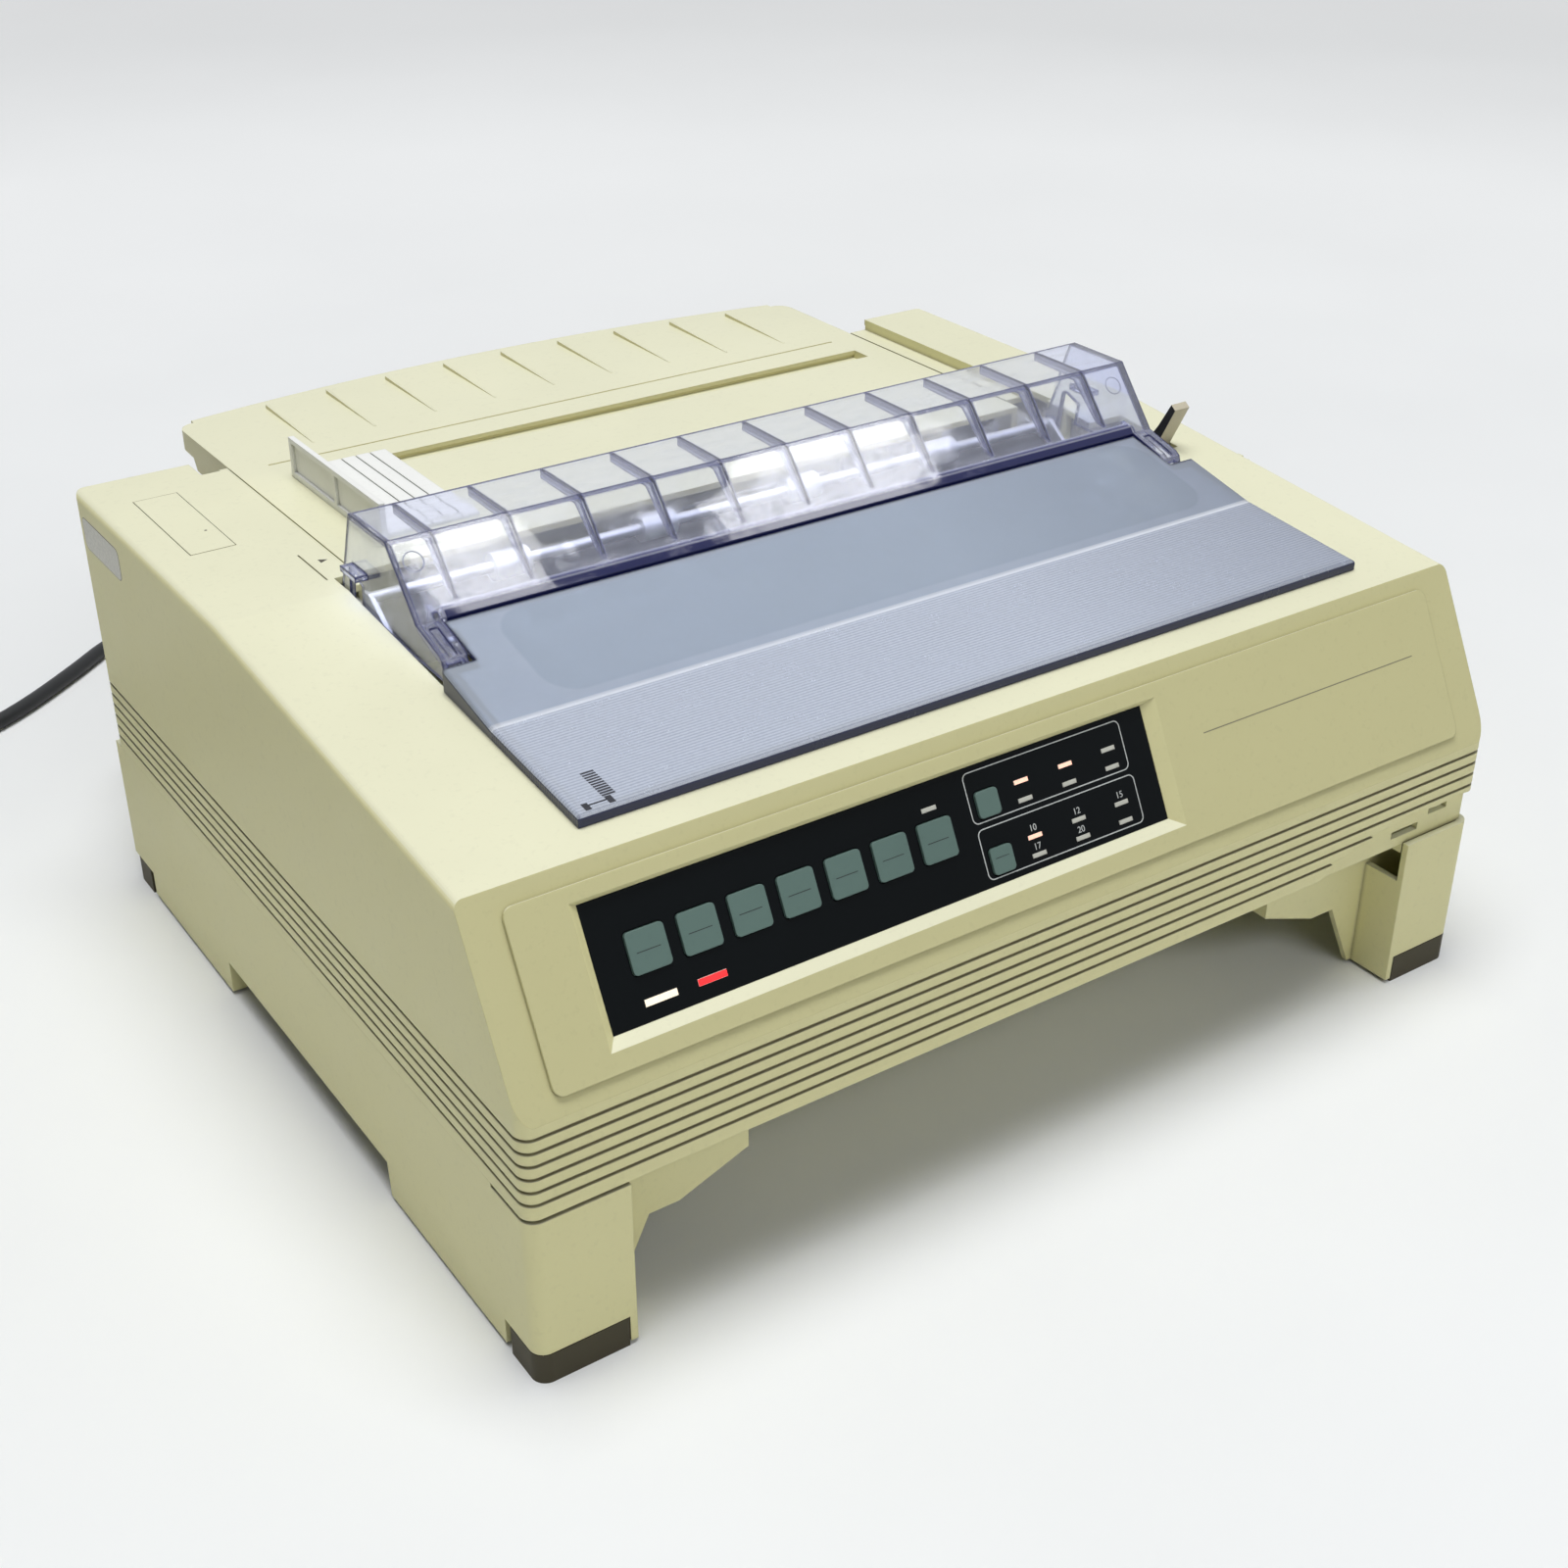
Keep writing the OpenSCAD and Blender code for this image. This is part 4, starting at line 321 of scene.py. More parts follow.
def clear_cover(name):
    """Clear violet moulding: navy at its edges, ribs and foot, with a faint haze and scuffs."""
    n = Nodes(name)
    tint = srgb(234, 237, 252)
    navy = srgb(26, 31, 84)
    edges = n.near_edges(0.0014, 0.995, 0.955)
    # the ribs stand across the cover and read dark where they meet its face and top
    across = n.spread(n.math("ABSOLUTE", n.faces("X")), 0.5, 0.8)
    inside = n.spread(n.math("ABSOLUTE", n.along("X")), *RIB_ENDS)
    from_foot = n.vector("SUBTRACT", (n.coords, "Object"), tuple(place(*FACE_FOOT)))
    behind = n.vector("DOT_PRODUCT", from_foot, (0.0, math.sin(FACE), -math.cos(FACE)))
    under = n.math("SUBTRACT", COVER_TOP, n.along("Z"))
    near = n.spread(n.math("MINIMUM", behind, under), *RIB_DEPTH, 0.2, 1.0)
    ribs = n.math("MULTIPLY", near, n.math("MULTIPLY", across, inside))
    dark = n.math("MAXIMUM", edges, ribs)
    # a dark band along the foot of the face
    low = n.spread(n.along("Z"), *COVER_FOOT)
    band = n.math("MULTIPLY", inside, n.spread(behind, *FOOT_DEPTH))
    dark = n.math("MAXIMUM", dark, n.math("MULTIPLY", low, band))
    n.link(*n.mix(dark, tint, navy), n.bsdf, "Base Color")
    scuff = n.noise(70.0, 6.0, 0.75, (1, 3, 1))
    worn = n.ramp(scuff, "Fac", [(0.50, (0, 0, 0)), (0.75, (1, 1, 1))])
    n.roughness(worn, "Color", 0.03, 0.24)
    haze = n.spread((scuff, "Fac"), 0.35, 0.75, 0.95, 0.87)
    clear = n.math("SUBTRACT", haze, n.math("MULTIPLY", dark, 0.85))
    n.link(*clear, n.bsdf, "Transmission Weight")
    n.bsdf.inputs["IOR"].default_value = CLEAR_IOR
    n.bump(n.noise(22.0, 2.0), "Fac", 0.16, 0.002, n.soft_edges(0.0005))
    n.let_light_in(srgb(232, 234, 246))
    return n.mat


# the clearer window of the front plate: its middle in mm, then half its size, the radius of
# its corners and the softness of its outline in metres
WINDOW = (place(11.5, 123.5, 167), (0.1385, 0.0225, 0.05), 0.012, 0.0006)
# offsets from the crease, in mm: where the ridges start, and both flanks of the painted highlight
# along the crease line
RIDGED_FROM = (0.6, -0.4)
CREASE_HIGHLIGHT_FRONT = (-1.4, -0.8)
CREASE_HIGHLIGHT_BACK = (1.4, 0.8)
# painted shade darkens the plate towards its right end between these places, in metres
RIGHT_END_SHADE = (0.03, 0.17)


def past_crease(offset):
    """How far back a line beside the crease lies in the frame."""
    return place(0, CREASE_Y + offset, 0)[1]


def hatched_plate(name):
    """Tinted plate: finely ridged in front of its crease, smooth behind, with a clearer window
    and dark rims, a painted highlight along the crease and painted shade towards its right end."""
    n = Nodes(name)
    window = n.window(*WINDOW)
    depth = n.along("Y")
    front = n.spread(depth, *map(past_crease, RIDGED_FROM))
    crease = n.math("MULTIPLY", n.spread(depth, *map(past_crease, CREASE_HIGHLIGHT_FRONT)),
                    n.spread(depth, *map(past_crease, CREASE_HIGHLIGHT_BACK)))
    haze = n.noise(60.0, 5.0, 0.7)
    ridges = n.add("ShaderNodeTexWave", wave_type="BANDS", bands_direction="Y")
    ridges.inputs["Scale"].default_value = 230.0
    n.link(n.coords, "Object", ridges, "Vector")
    sparkle = n.noise(900.0, 2.0)
    hatch = n.math("MULTIPLY", n.math("ADD", (ridges, "Fac"), (sparkle, "Fac")), 0.5)
    ridged = n.ramp(*hatch, [(0.25, srgb(176, 183, 196)), (0.75, srgb(204, 211, 224))])
    even = n.ramp(haze, "Fac", [(0.35, srgb(190, 200, 214)), (0.7, srgb(194, 204, 218))])
    top = n.mix(front, (even, "Color"), (ridged, "Color"))
    top = n.mix(n.math("MULTIPLY", window, 0.5), top, srgb(188, 201, 214))
    # painted shade towards the right end of the plate
    top = n.mix(n.spread(n.along("X"), *RIGHT_END_SHADE, 0.0, 0.42), top, srgb(112, 121, 142))
    # painted highlight along the crease
    top = n.mix(n.math("MULTIPLY", crease, 0.85), top, srgb(236, 240, 247))
    rim = n.spread(n.math("ABSOLUTE", n.faces("Z")), 0.55, 0.25)
    colour = n.mix(rim, top, srgb(38, 43, 76))
    # the moulded edge shows as a dark line
    edge = n.near_edges(0.0022)
    colour = n.mix(n.math("MULTIPLY", edge, 0.9), colour, srgb(42, 48, 84))
    n.link(*colour, n.bsdf, "Base Color")
    through = n.math("MULTIPLY", n.spread(front, 0.0, 1.0, 0.46, 0.24),
                     n.math("SUBTRACT", 1.0, rim))
    through = n.math("ADD", through, n.math("MULTIPLY", window, 0.06))
    n.link(*through, n.bsdf, "Transmission Weight")
    n.bsdf.inputs["IOR"].default_value = CLEAR_IOR
    rough = n.math("ADD", n.spread(front, 0.0, 1.0, 0.07, 0.24),
                   n.spread((haze, "Fac"), 0.3, 0.7, -0.02, 0.05))
    n.link(*rough, n.bsdf, "Roughness")
    n.bump(*n.math("MULTIPLY", front, hatch), 0.22, 0.0003, n.soft_edges(0.0006))
    n.let_light_in(srgb(150, 156, 180))
    return n.mat


def glowing(name, colour, strength):
    """A small lit window: a dim diffusing lens in front of a lamp."""
    n = Nodes(name)
    grain = n.noise(900.0, 2.0)
    base = n.ramp(grain, "Fac", [(0.3, shade(colour, 0.85)), (0.7, colour)])
    n.link(base, "Color", n.bsdf, "Base Color")
    n.link(base, "Color", n.bsdf, "Emission Color")
    n.bsdf.inputs["Emission Strength"].default_value = strength
    n.bsdf.inputs["Roughness"].default_value = 0.4
    return n.mat


def printed(name, colour, rough=0.45):
    """Screen printed ink with slightly uneven cover."""
    n = Nodes(name)
    cover = n.noise(800.0, 3.0)
    base = n.ramp(cover, "Fac", [(0.3, shade(colour, 0.82)), (0.6, colour)])
    n.link(base, "Color", n.bsdf, "Base Color")
    n.roughness(cover, "Fac", rough - 0.05, rough + 0.1)
    return n.mat


CREAM = srgb(229, 228, 198)
# painted shade on upright faces
UPRIGHT_SHADE = srgb(221, 216, 163)
# painted shade in grooves and corners
GROOVE_SHADE = srgb(120, 112, 82)

MATERIALS = {
    "case_cream": moulded("case_cream", CREAM, 0.46, stain=0.05, groove_shade=GROOVE_SHADE, upright_shade=UPRIGHT_SHADE),
    "foot_brown": moulded("foot_brown", srgb(62, 56, 34), 0.6, stain=0.15),
    "panel_black": moulded("panel_black", srgb(12, 16, 18), 0.2, grain=0.00001, stain=0.2,
                           shine=0.08),
    "key_grey": moulded("key_grey", srgb(90, 114, 107), 0.42, stain=0.08),
    "led_window": moulded("led_window", srgb(196, 196, 186), 0.35, stain=0.05),
    # the guide's grooves get painted shade
    "guide_grey": moulded("guide_grey", srgb(240, 241, 238), 0.42, stain=0.04,
                          groove_shade=srgb(160, 160, 152)),
    "clear_blue": clear_cover("clear_blue"),
    "smoked_plate": hatched_plate("smoked_plate"),
    # the lever's faces turned left get a near black painted shade
    "lever_beige": moulded("lever_beige", srgb(196, 188, 166), 0.5, left_shade=srgb(26, 26, 27)),
    "zinc_sheet": metal("zinc_sheet", (0.70, 0.71, 0.72), 0.38, (1, 6, 1)),
    "bright_steel": metal("bright_steel", (0.78, 0.79, 0.80), 0.16, (8, 1, 1)),
    "black_plastic": moulded("black_plastic", srgb(44, 44, 47), 0.45, stain=0.12),
    "head_metal": metal("head_metal", (0.26, 0.27, 0.29), 0.5, (1, 1, 4)),
    "belt_rubber": moulded("belt_rubber", srgb(38, 38, 40), 0.7, stain=0.15),
    "gear_ivory": moulded("gear_ivory", srgb(228, 224, 204), 0.42),
    "brass_wheel": metal("brass_wheel", (0.72, 0.58, 0.32), 0.3, (1, 1, 6)),
    "board_green": moulded("board_green", srgb(44, 104, 70), 0.4, stain=0.15),
    "core_steel": metal("core_steel", (0.34, 0.34, 0.35), 0.55, (1, 1, 12)),
    "cord_black": moulded("cord_black", srgb(30, 31, 33), 0.42, grain=0.00003, stain=0.1),
}

# nodes whose finish differs a little from that of their slot; the sheet support has no painted
# shade in its grooves, and its own painted shade on upright faces
OWN_LOOK = {
    "sheet_support": moulded("support_cream", CREAM, 0.38, stain=0.04, upright_shade=srgb(214, 208, 160)),
}


def dress_nodes():
    slots = {part["node"]: part["material_slot"] for part in frame["record"]["subparts"]}
    for name, obj in frame["nodes"].items():
        obj.data.materials.clear()
        obj.data.materials.append(OWN_LOOK.get(name) or MATERIALS[slots[name]])


# ------------------------------------------------------------------ cord

CORD_DIAMETER = 0.0072
CORD_RADIUS = 3.6
# from the gland down to the table, then to the start of the coil
CORD_ROUTE = [
    (-172, 365, 106), (-172, 376, 105), (-170, 388, 101), (-167, 399, 93), (-163, 410, 80),
    (-158, 420, 64), (-152, 430, 47), (-145, 440, 31), (-137, 449, 18), (-127, 459, 9),
    (-116, 467, 4.6), (-104, 473, 3.6), (-91, 480, 3.6), (-81, 490, 3.6), (-75, 503, 3.6),
    (-74, 517, 3.6), (-77, 530, 3.6), (-85, 543, 3.6), (-97, 552, 3.6), (-110, 557, 3.6),
    (-123, 558, 3.6), (-135, 555, 3.6), (-146, 549, 3.6), (-163, 535, 3.6), (-188, 516, 3.6),
    (-209, 503, 3.6), (-229, 495, 3.6), (-250, 492, 3.6), (-272, 491.2, 3.6)]
ROUTE_STEPS = 4
COIL = (-291.0, 443.0)
COIL_RADIUS = 39.0
COIL_PITCH = 7.3
# turns of the coil: inward on the table, a climb, then outward on top
TURNS_DOWN = 2.5
TURNS_CLIMB = 3.0
TURNS = 5.25
STEPS_PER_TURN = 36
# the coil starts this many pitches outside its radius, and on top grows by this many a turn
COIL_START = 1.25
COIL_GROWTH = 1.5
# from the coil to the plug: how far on, and how far below the upper layer
CORD_TAIL = ((12, 0), (24, 0.3), (36, 0), (46, 0))


def coil_radius(turn):
    if turn <= TURNS_CLIMB:
        return COIL_RADIUS + (COIL_START - turn) * COIL_PITCH
    inward = COIL_START - TURNS_CLIMB
    return COIL_RADIUS + (inward + COIL_GROWTH * (turn - TURNS_CLIMB)) * COIL_PITCH


def coil_point(turn):
    angle = math.radians(90.0) + turn * math.tau
    radius = coil_radius(turn)
    climb = min(max((turn - TURNS_DOWN) / (TURNS_CLIMB - TURNS_DOWN), 0.0), 1.0)
    height = CORD_RADIUS + COIL_PITCH * climb * climb * (3.0 - 2.0 * climb)
    return (COIL[0] + radius * math.cos(angle), COIL[1] + radius * math.sin(angle), height)


def smooth(points, steps):
    """Points of a smooth curve through the given ones."""
    dense = []
    last = len(points) - 1
    for i in range(last):
        a, b, c, d = (Vector(points[min(max(k, 0), last)]) for k in (i - 1, i, i + 1, i + 2))
        for s in range(steps):
            t = s / steps
            dense.append(0.5 * (2 * b + (c - a) * t + (2 * a - 5 * b + 4 * c - d) * t ** 2
                                + (3 * b - a - 3 * c + d) * t ** 3))
    dense.append(Vector(points[-1]))
    return dense


def cord_path():
    """Points along the middle of the cord, from the gland to the plug."""
    turns = [coil_point(k / STEPS_PER_TURN) for k in range(0, int(TURNS * STEPS_PER_TURN) + 1)]
    tail_x = COIL[0] - coil_radius(TURNS)
    upper_layer = CORD_RADIUS + COIL_PITCH
    tail = [(tail_x, COIL[1] - along, upper_layer - sag) for along, sag in CORD_TAIL]
    return smooth(CORD_ROUTE, ROUTE_STEPS) + [Vector(p) for p in turns + tail]


def make_cord():
    path = cord_path()
    curve = bpy.data.curves.new("mains_cord", "CURVE")
    curve.dimensions = "3D"
    curve.bevel_depth = CORD_DIAMETER / 2
    curve.bevel_resolution = 4
    curve.use_fill_caps = True
    spline = curve.splines.new("POLY")
    spline.points.add(len(path) - 1)
    for point, at in zip(spline.points, path):
        point.co = (*place(*at), 1.0)
    cord = bpy.data.objects.new("mains_cord", curve)
    bpy.context.scene.collection.objects.link(cord)
    cord.data.materials.append(MATERIALS["cord_black"])
    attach(cord, "housing")
    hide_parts("power_cord", "cord_coil", "cord_tail")


# ------------------------------------------------------------------ thin trim

# how far printed lines stand out of their surface, in mm
INK = 0.04
THICK_INK = 0.06


def mesh_piece(name, shells, material, body):
    """A piece from closed shells: each a list of outline points below and above."""
    bm = bmesh.new()
    for low, high in shells:
        below = [bm.verts.new(p) for p in low]
        above = [bm.verts.new(p) for p in high]
        bm.faces.new(list(reversed(below)))
        bm.faces.new(above)
        for i in range(len(low)):
            k = (i + 1) % len(low)
            bm.faces.new([below[i], below[k], above[k], above[i]])
    bmesh.ops.recalc_face_normals(bm, faces=bm.faces)
    mesh = bpy.data.meshes.new(name)
    bm.to_mesh(mesh)
    bm.free()
    obj = bpy.data.objects.new(name, mesh)
    bpy.context.scene.collection.objects.link(obj)
    mesh.materials.append(material)
    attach(obj, body)


def corners(x1, x2, y1, y2):
    return [(x1, y1), (x2, y1), (x2, y2), (x1, y2)]


def on_slant_shell(points, low, high):
    """A thin shell between two heights over an outline of x, u points of the slanted face."""
    return [on_slant(x, u, low) for x, u in points], [on_slant(x, u, high) for x, u in points]


def slant_bar(x, half, u1, u2, low, high):
    return on_slant_shell(corners(x - half, x + half, u1, u2), low, high)


def ring_points(x1, x2, u1, u2, radius, steps=6):
    """Outline of a rectangle with round corners."""
    points = []
    for cx, cu, start in ((x2 - radius, u2 - radius, 0), (x1 + radius, u2 - radius, 90),
                          (x1 + radius, u1 + radius, 180), (x2 - radius, u1 + radius, 270)):
        for k in range(steps + 1):
            a = math.radians(start + 90.0 * k / steps)
            points.append((cx + radius * math.cos(a), cu + radius * math.sin(a)))
    return points


# ------------------------------------------------------------------ panel

# heights out of the slanted face, in mm: the panel, and the tops of its keys
PANEL = -1.0
KEY_TOP = -0.2
# places across of the seven large keys, and of the two small ones
KEY_X = [-146.5 + 17.3 * i for i in range(7)]
SMALL_X = -21.0
# half the length of the line on a key, then where it lies up the slant
KEY_LINE = (4.0, 35.6, 35.85)
SMALL_LINE = (2.7, 23.9, 24.1)
# columns and rows of the small windows that are lit, and half their size
LED_X = [-6.5 + 18.3 * i for i in range(3)]
LIT = [(LED_X[0], 44.4), (LED_X[1], 44.4), (LED_X[0], 26.2)]
LIT_HALF = (2.75, 0.65)
# half the length of the two large lights, and where they lie up the slant
POWER_HALF = 5.35
ALARM_HALF = 4.85
LARGE_LIGHT_U = (20.2, 22.2)
# frame lines: x1, x2, u1, u2 of each, then radius and width
PITCH_FRAME = (-28.0, 37.0, 35.9, 52.6)
QUALITY_FRAME = (-27.6, 37.6, 17.7, 34.2)
FRAME_RADIUS = 2.2
FRAME_WIDTH = 0.35
# plain numbers beside the windows
NUMBERS = (("10", LED_X[0], 28.0), ("12", LED_X[1], 28.0), ("15", LED_X[2], 28.0),
           ("17", LED_X[0], 21.9), ("20", LED_X[1], 21.9))
NUMBER_SIZE = 3.0
# bare rule line on the raised field right of the panel: x, half length, u1, u2, low, high
RULE_LINE = (120.0, 51.0, 38.6, 38.95, 1.2, 1.24)


def frame_line(name, x1, x2, u1, u2, material):
    """A thin printed frame line with round corners on the panel."""
    w = FRAME_WIDTH
    outer = ring_points(x1, x2, u1, u2, FRAME_RADIUS)
    inner = ring_points(x1 + w, x2 - w, u1 + w, u2 - w, FRAME_RADIUS - w)
    shells = []
    for i in range(len(outer)):
        k = (i + 1) % len(outer)
        quad = [outer[i], outer[k], inner[k], inner[i]]
        shells.append(on_slant_shell(quad, PANEL, PANEL + THICK_INK))
    mesh_piece(name, shells, material, "housing")


def number(text, x, u, material):
    curve = bpy.data.curves.new("number_" + text, "FONT")
    curve.body = text
    curve.size = NUMBER_SIZE * MM
    curve.extrude = 0.00003
    curve.align_x = "CENTER"
    obj = bpy.data.objects.new("number_" + text, curve)
    right = Vector((1, 0, 0))
    up = (on_slant(0, 1, 0) - on_slant(0, 0, 0)).normalized()
    out = right.cross(up)
    turn = Matrix((right, up, out)).transposed().to_4x4()
    obj.matrix_world = Matrix.Translation(on_slant(x, u, PANEL + INK)) @ turn
    bpy.context.scene.collection.objects.link(obj)
    curve.materials.append(material)
    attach(obj, "housing")


def dress_panel():
    white = printed("print_white", srgb(196, 200, 198))
    dark = printed("print_dark", srgb(30, 38, 38))
    grey = printed("print_grey", srgb(128, 124, 102))
    rose = glowing("lit_rose", srgb(255, 196, 172), 0.75)
    pale = glowing("lit_pale", srgb(255, 236, 208), 0.7)
    red = glowing("lit_red", srgb(240, 40, 44), 1.0)
    frame_line("pitch_frame", *PITCH_FRAME, white)
    frame_line("quality_frame", *QUALITY_FRAME, white)
    for i, x in enumerate(KEY_X):
        body = "key_%d" % (i + 1)
        line = slant_bar(x, *KEY_LINE, KEY_TOP, KEY_TOP + INK)
        mesh_piece(body + "_line", [line], dark, body)
    line = slant_bar(SMALL_X, *SMALL_LINE, KEY_TOP, KEY_TOP + INK)
    mesh_piece("key_9_line", [line], dark, "key_9")
    half, rise = LIT_HALF
    mesh_piece("lit_windows", [slant_bar(x, half, u - rise, u + rise, PANEL + 0.1, PANEL + 0.2)
                               for x, u in LIT], rose, "housing")
    for name, x, half, glow in (("power_light", KEY_X[0], POWER_HALF, pale),
                                ("alarm_light", KEY_X[1], ALARM_HALF, red)):
        light = slant_bar(x, half, *LARGE_LIGHT_U, PANEL + 0.05, PANEL + 0.15)
        mesh_piece(name, [light], glow, "housing")
    for text, x, u in NUMBERS:
        number(text, x, u, white)
    mesh_piece("rule_line", [slant_bar(*RULE_LINE)], grey, "housing")


# ------------------------------------------------------------------ marks on case and covers

# bare label on the left side: y1, y2, z1, z2 and radius of its rim and of its face, and how
# far out each starts and ends
LABEL_RIM = ((294.5, 334.0, 149.5, 162.2, 3.0), (-199.0, -199.06))
LABEL_FACE = ((294.75, 333.75, 149.75, 161.95, 2.8), (-199.05, -199.1))
# sheet edge arrow beside the cover, and a dot by the rear corner: outline, then low and high
EDGE_ARROW = ([(-149.6, 226.4), (-146.6, 228.0), (-149.6, 229.6)], 170.0, 170.04)
CORNER_DOT = (ring_points(-172.5, -171.5, 275.5, 276.5, 0.45), 170.02, 170.08)
# sheet scale on the front plate: eleven bars and three pointers, as x1, x2, y1, y2
SCALE_BARS = [(-141.6, -137.2, 48.6 + 1.25 * i, 49.3 + 1.25 * i) for i in range(11)]
SCALE_POINTERS = [(-148.6, -141.0, 46.4, 47.0), (-141.4, -139.3, 44.6, 48.2),
                  (-149.2, -147.2, 44.6, 48.0)]
# round marks that the mould left near both ends of the cover
GATE_MARKS = (("gate_mark_left", (-143.6, 162.0, 192.5)),
              ("gate_mark_right", (153.3, 162.0, 192.5)))
GATE_RADIUS = 3.6
GATE_WIDTH = 0.35
GATE_LIFT = 0.12
GATE_STEPS = 40


def flat_shell(points, low, high):
    """A thin shell between two heights over an outline of x, y points."""
    return [place(x, y, low) for x, y in points], [place(x, y, high) for x, y in points]


def side_shell(box, depths):
    """A thin round-cornered shell on the left side."""
    outline = ring_points(*box)
    low, high = ([place(x, y, z) for y, z in outline] for x in depths)
    return low, high


def dress_case():
    mark = printed("mark_dark", srgb(70, 66, 50))
    paper = printed("label_paper", srgb(214, 212, 200))
    edge = printed("label_edge", srgb(96, 92, 74))
    mesh_piece("label_rim", [side_shell(*LABEL_RIM)], edge, "housing")
    mesh_piece("label_face", [side_shell(*LABEL_FACE)], paper, "housing")
    mesh_piece("edge_arrow", [flat_shell(*EDGE_ARROW)], mark, "housing")
    mesh_piece("corner_dot", [flat_shell(*CORNER_DOT)], mark, "housing")


def plate_level(y):
    return CREASE_Z - (CREASE_Y - y) * DECK_SLOPE


def on_plate(x1, x2, y1, y2):
    low, high = ([place(x, y, plate_level(y) + lift) for x, y in corners(x1, x2, y1, y2)]
                 for lift in (0.0, THICK_INK))
    return low, high


def dress_plate():
    black = printed("scale_black", srgb(24, 26, 38))
    bars = [on_plate(*box) for box in SCALE_BARS + SCALE_POINTERS]
    mesh_piece("scale_marks", bars, black, "plate")


def ring_mark(name, at, material):
    """A thin raised ring on the sloping face of the top cover."""
    up = Vector((0.0, math.cos(FACE), math.sin(FACE)))
    out = Vector((0.0, -math.sin(FACE), math.cos(FACE)))
    middle = place(*at)

    def spot(r, k, lift):
        a = math.tau * k / GATE_STEPS
        around = Vector((math.cos(a), 0.0, 0.0)) + up * math.sin(a)
        return middle + around * r * MM + out * lift * MM

    shells = []
    hole = GATE_RADIUS - GATE_WIDTH
    for k in range(GATE_STEPS):
        quad = ((GATE_RADIUS, k), (GATE_RADIUS, k + 1), (hole, k + 1), (hole, k))
        shells.append([[spot(r, i, lift) for r, i in quad] for lift in (0.0, GATE_LIFT)])
    mesh_piece(name, shells, material, "cover")


def dress_cover():
    line = printed("moulding_line", srgb(150, 155, 178), 0.3)
    for name, at in GATE_MARKS:
        ring_mark(name, at, line)


# ------------------------------------------------------------------ stage

# half the side of the floor, in metres
FLOOR_REACH = 6.0
# how the floor glows to the eye as it runs away from the object: from and to a distance in
# metres, then from and to a strength
GLOW_NEAR = (0.32, 1.30, 0.0, 0.20)
GLOW_FAR = (1.9, 5.0, 0.0, 0.55)
# strength of the room as a lamp, and to the eye
ROOM_LIGHT = 0.13
ROOM_SEEN = 0.8
ROOM_COLOUR = (0.95, 0.97, 1.0, 1.0)
# name, place, point it looks at, size in metres, power in watts, seen in mirrors only; the two
# boxes are what the sloping face of the top cover mirrors
LAMPS = (
    ("overhead", (-0.20, -0.12, 3.3), (0, 0, 0.1), (1.8, 1.8), 89, False),
    ("fill", (-0.1, -1.7, 1.35), (0, 0, 0.08), (1.2, 0.5), 7.5, False),
    ("box_middle", (0.82, -0.79, 1.21), (0.0, -0.047, 0.188), (0.23, 0.17), 1.15, True),
    ("box_left", (0.465, -0.855, 1.31), (-0.09, -0.047, 0.188), (0.12, 0.17), 0.6, True),
)


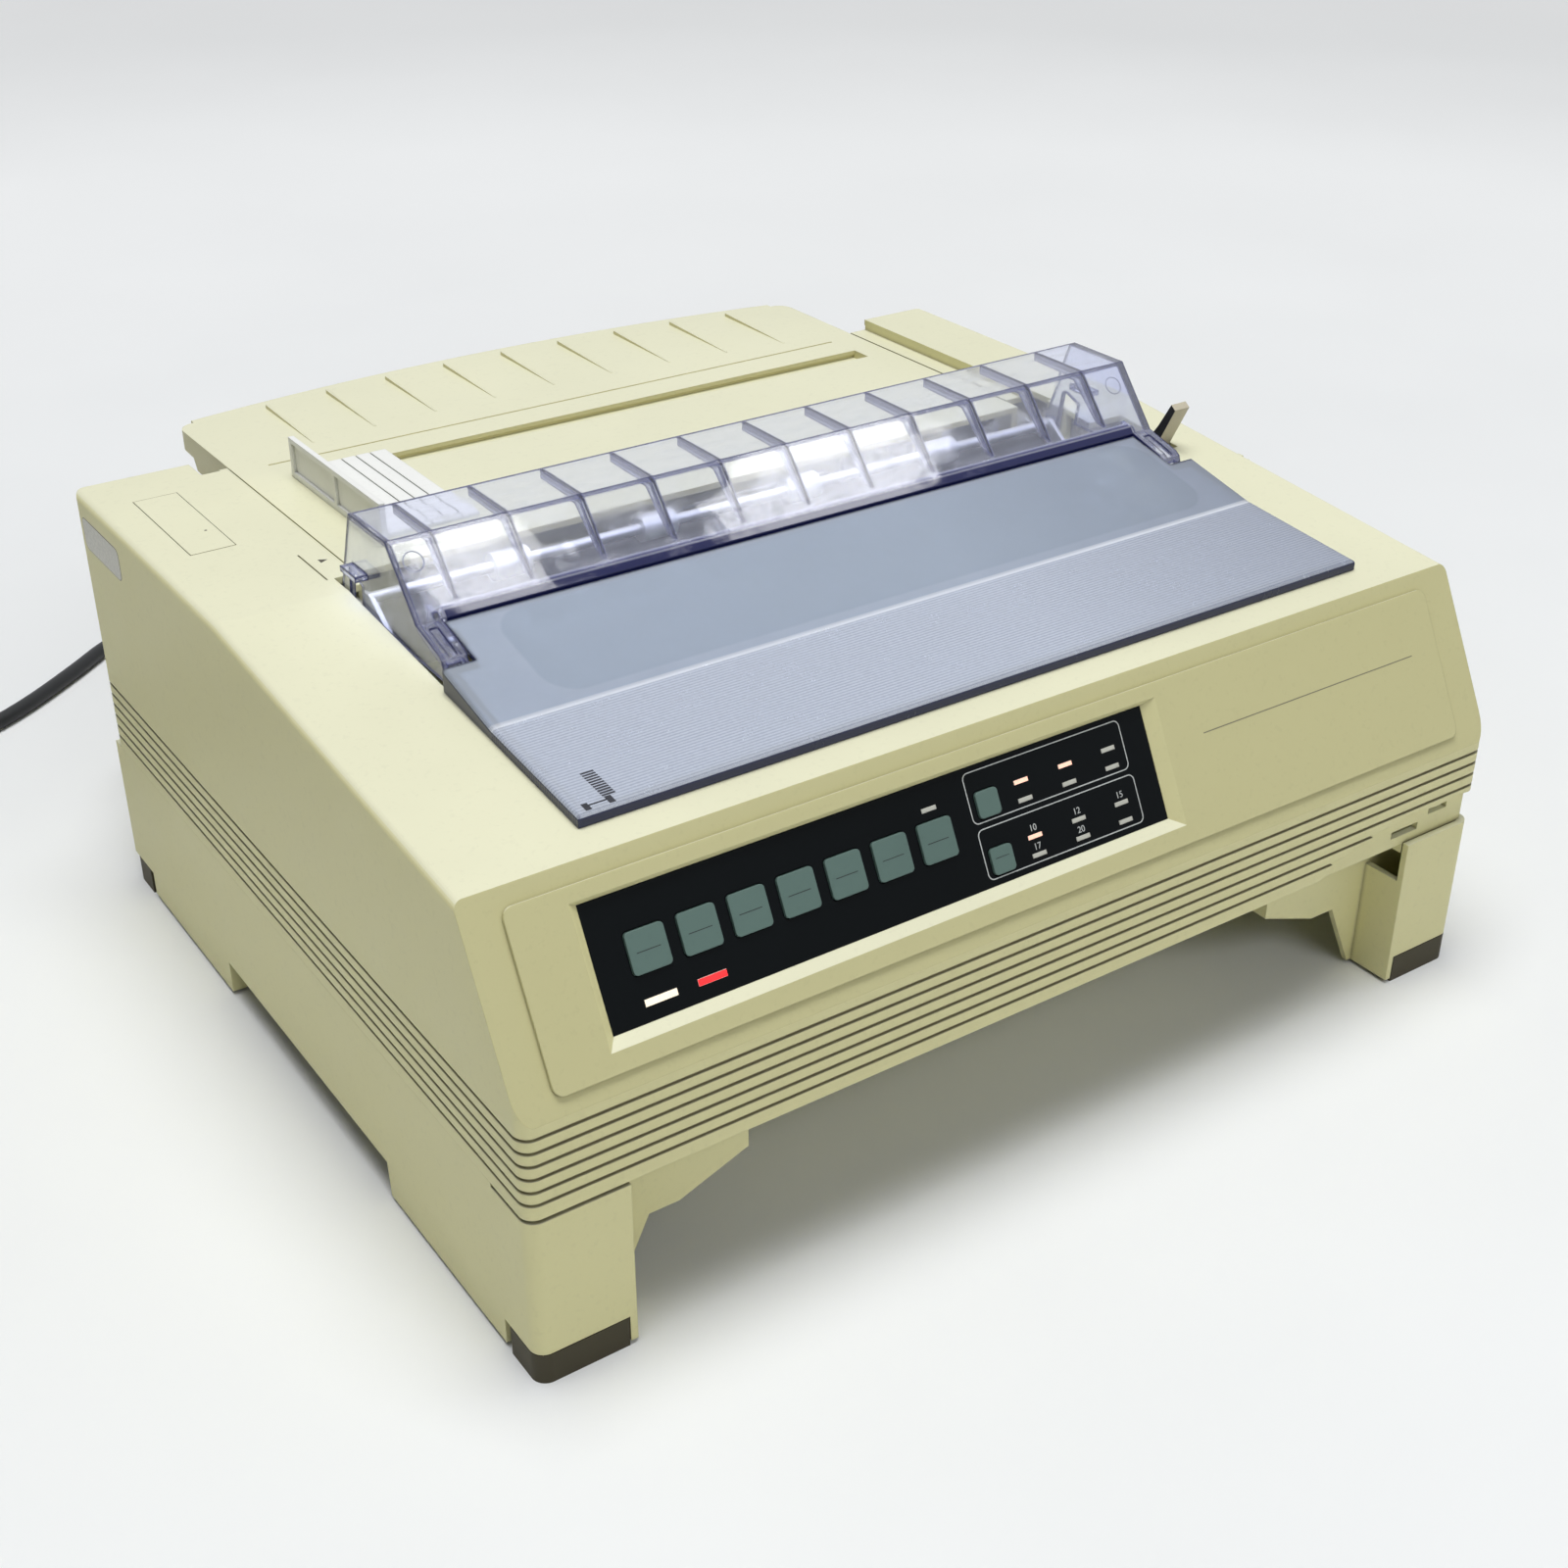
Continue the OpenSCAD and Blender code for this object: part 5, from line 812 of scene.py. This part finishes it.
def floor_paper():
    """White paper that stays pale to the eye away from the object."""
    n = Nodes("floor_paper")
    tone = n.noise(3.0, 3.0)
    base = n.ramp(tone, "Fac", [(0.3, srgb(238, 240, 241)), (0.7, srgb(242, 244, 245))])
    n.link(base, "Color", n.bsdf, "Base Color")
    n.bsdf.inputs["Roughness"].default_value = 0.9
    n.bsdf.inputs["Specular IOR Level"].default_value = 0.1
    distance = n.vector("LENGTH", (n.coords, "Object"))
    away = n.math("ADD", n.spread(distance, *GLOW_NEAR), n.spread(distance, *GLOW_FAR))
    glow = n.math("MULTIPLY", away, (n.add("ShaderNodeLightPath"), "Is Camera Ray"))
    n.bsdf.inputs["Emission Color"].default_value = (1.0, 1.0, 1.0, 1.0)
    n.link(*glow, n.bsdf, "Emission Strength")
    return n.mat


def make_floor():
    mesh = bpy.data.meshes.new("floor")
    bm = bmesh.new()
    bmesh.ops.create_grid(bm, x_segments=1, y_segments=1, size=FLOOR_REACH)
    bm.to_mesh(mesh)
    bm.free()
    floor = bpy.data.objects.new("floor", mesh)
    bpy.context.scene.collection.objects.link(floor)
    mesh.materials.append(floor_paper())


def make_room():
    """A white room to the eye, in mirrors and through clear walls, and a dim one as a lamp."""
    world = bpy.data.worlds.new("studio")
    bpy.context.scene.world = world
    world.use_nodes = True
    nodes, links = world.node_tree.nodes, world.node_tree.links
    back = nodes["Background"]
    back.inputs["Color"].default_value = ROOM_COLOUR
    path = nodes.new("ShaderNodeLightPath")
    seen = path.outputs["Is Camera Ray"]
    for ray in ("Is Glossy Ray", "Is Transmission Ray"):
        either = nodes.new("ShaderNodeMath")
        either.operation = "MAXIMUM"
        links.new(seen, either.inputs[0])
        links.new(path.outputs[ray], either.inputs[1])
        seen = either.outputs["Value"]
    strength = nodes.new("ShaderNodeMapRange")
    strength.inputs["To Min"].default_value = ROOM_LIGHT
    strength.inputs["To Max"].default_value = ROOM_SEEN
    links.new(seen, strength.inputs["Value"])
    links.new(strength.outputs["Result"], back.inputs["Strength"])


def make_lamps():
    for name, at, toward, size, power, mirrored_only in LAMPS:
        data = bpy.data.lights.new(name, "AREA")
        data.shape = "RECTANGLE"
        data.size, data.size_y = size
        data.energy = power
        lamp = bpy.data.objects.new(name, data)
        lamp.visible_diffuse = not mirrored_only
        lamp.location = at
        lamp.rotation_euler = (Vector(toward) - Vector(at)).to_track_quat("-Z", "Y").to_euler()
        bpy.context.scene.collection.objects.link(lamp)


make_camera()
make_cord()
dress_nodes()
dress_panel()
dress_case()
dress_plate()
dress_cover()
make_floor()
make_room()
make_lamps()

scene = bpy.context.scene
scene.view_settings.view_transform = "Standard"
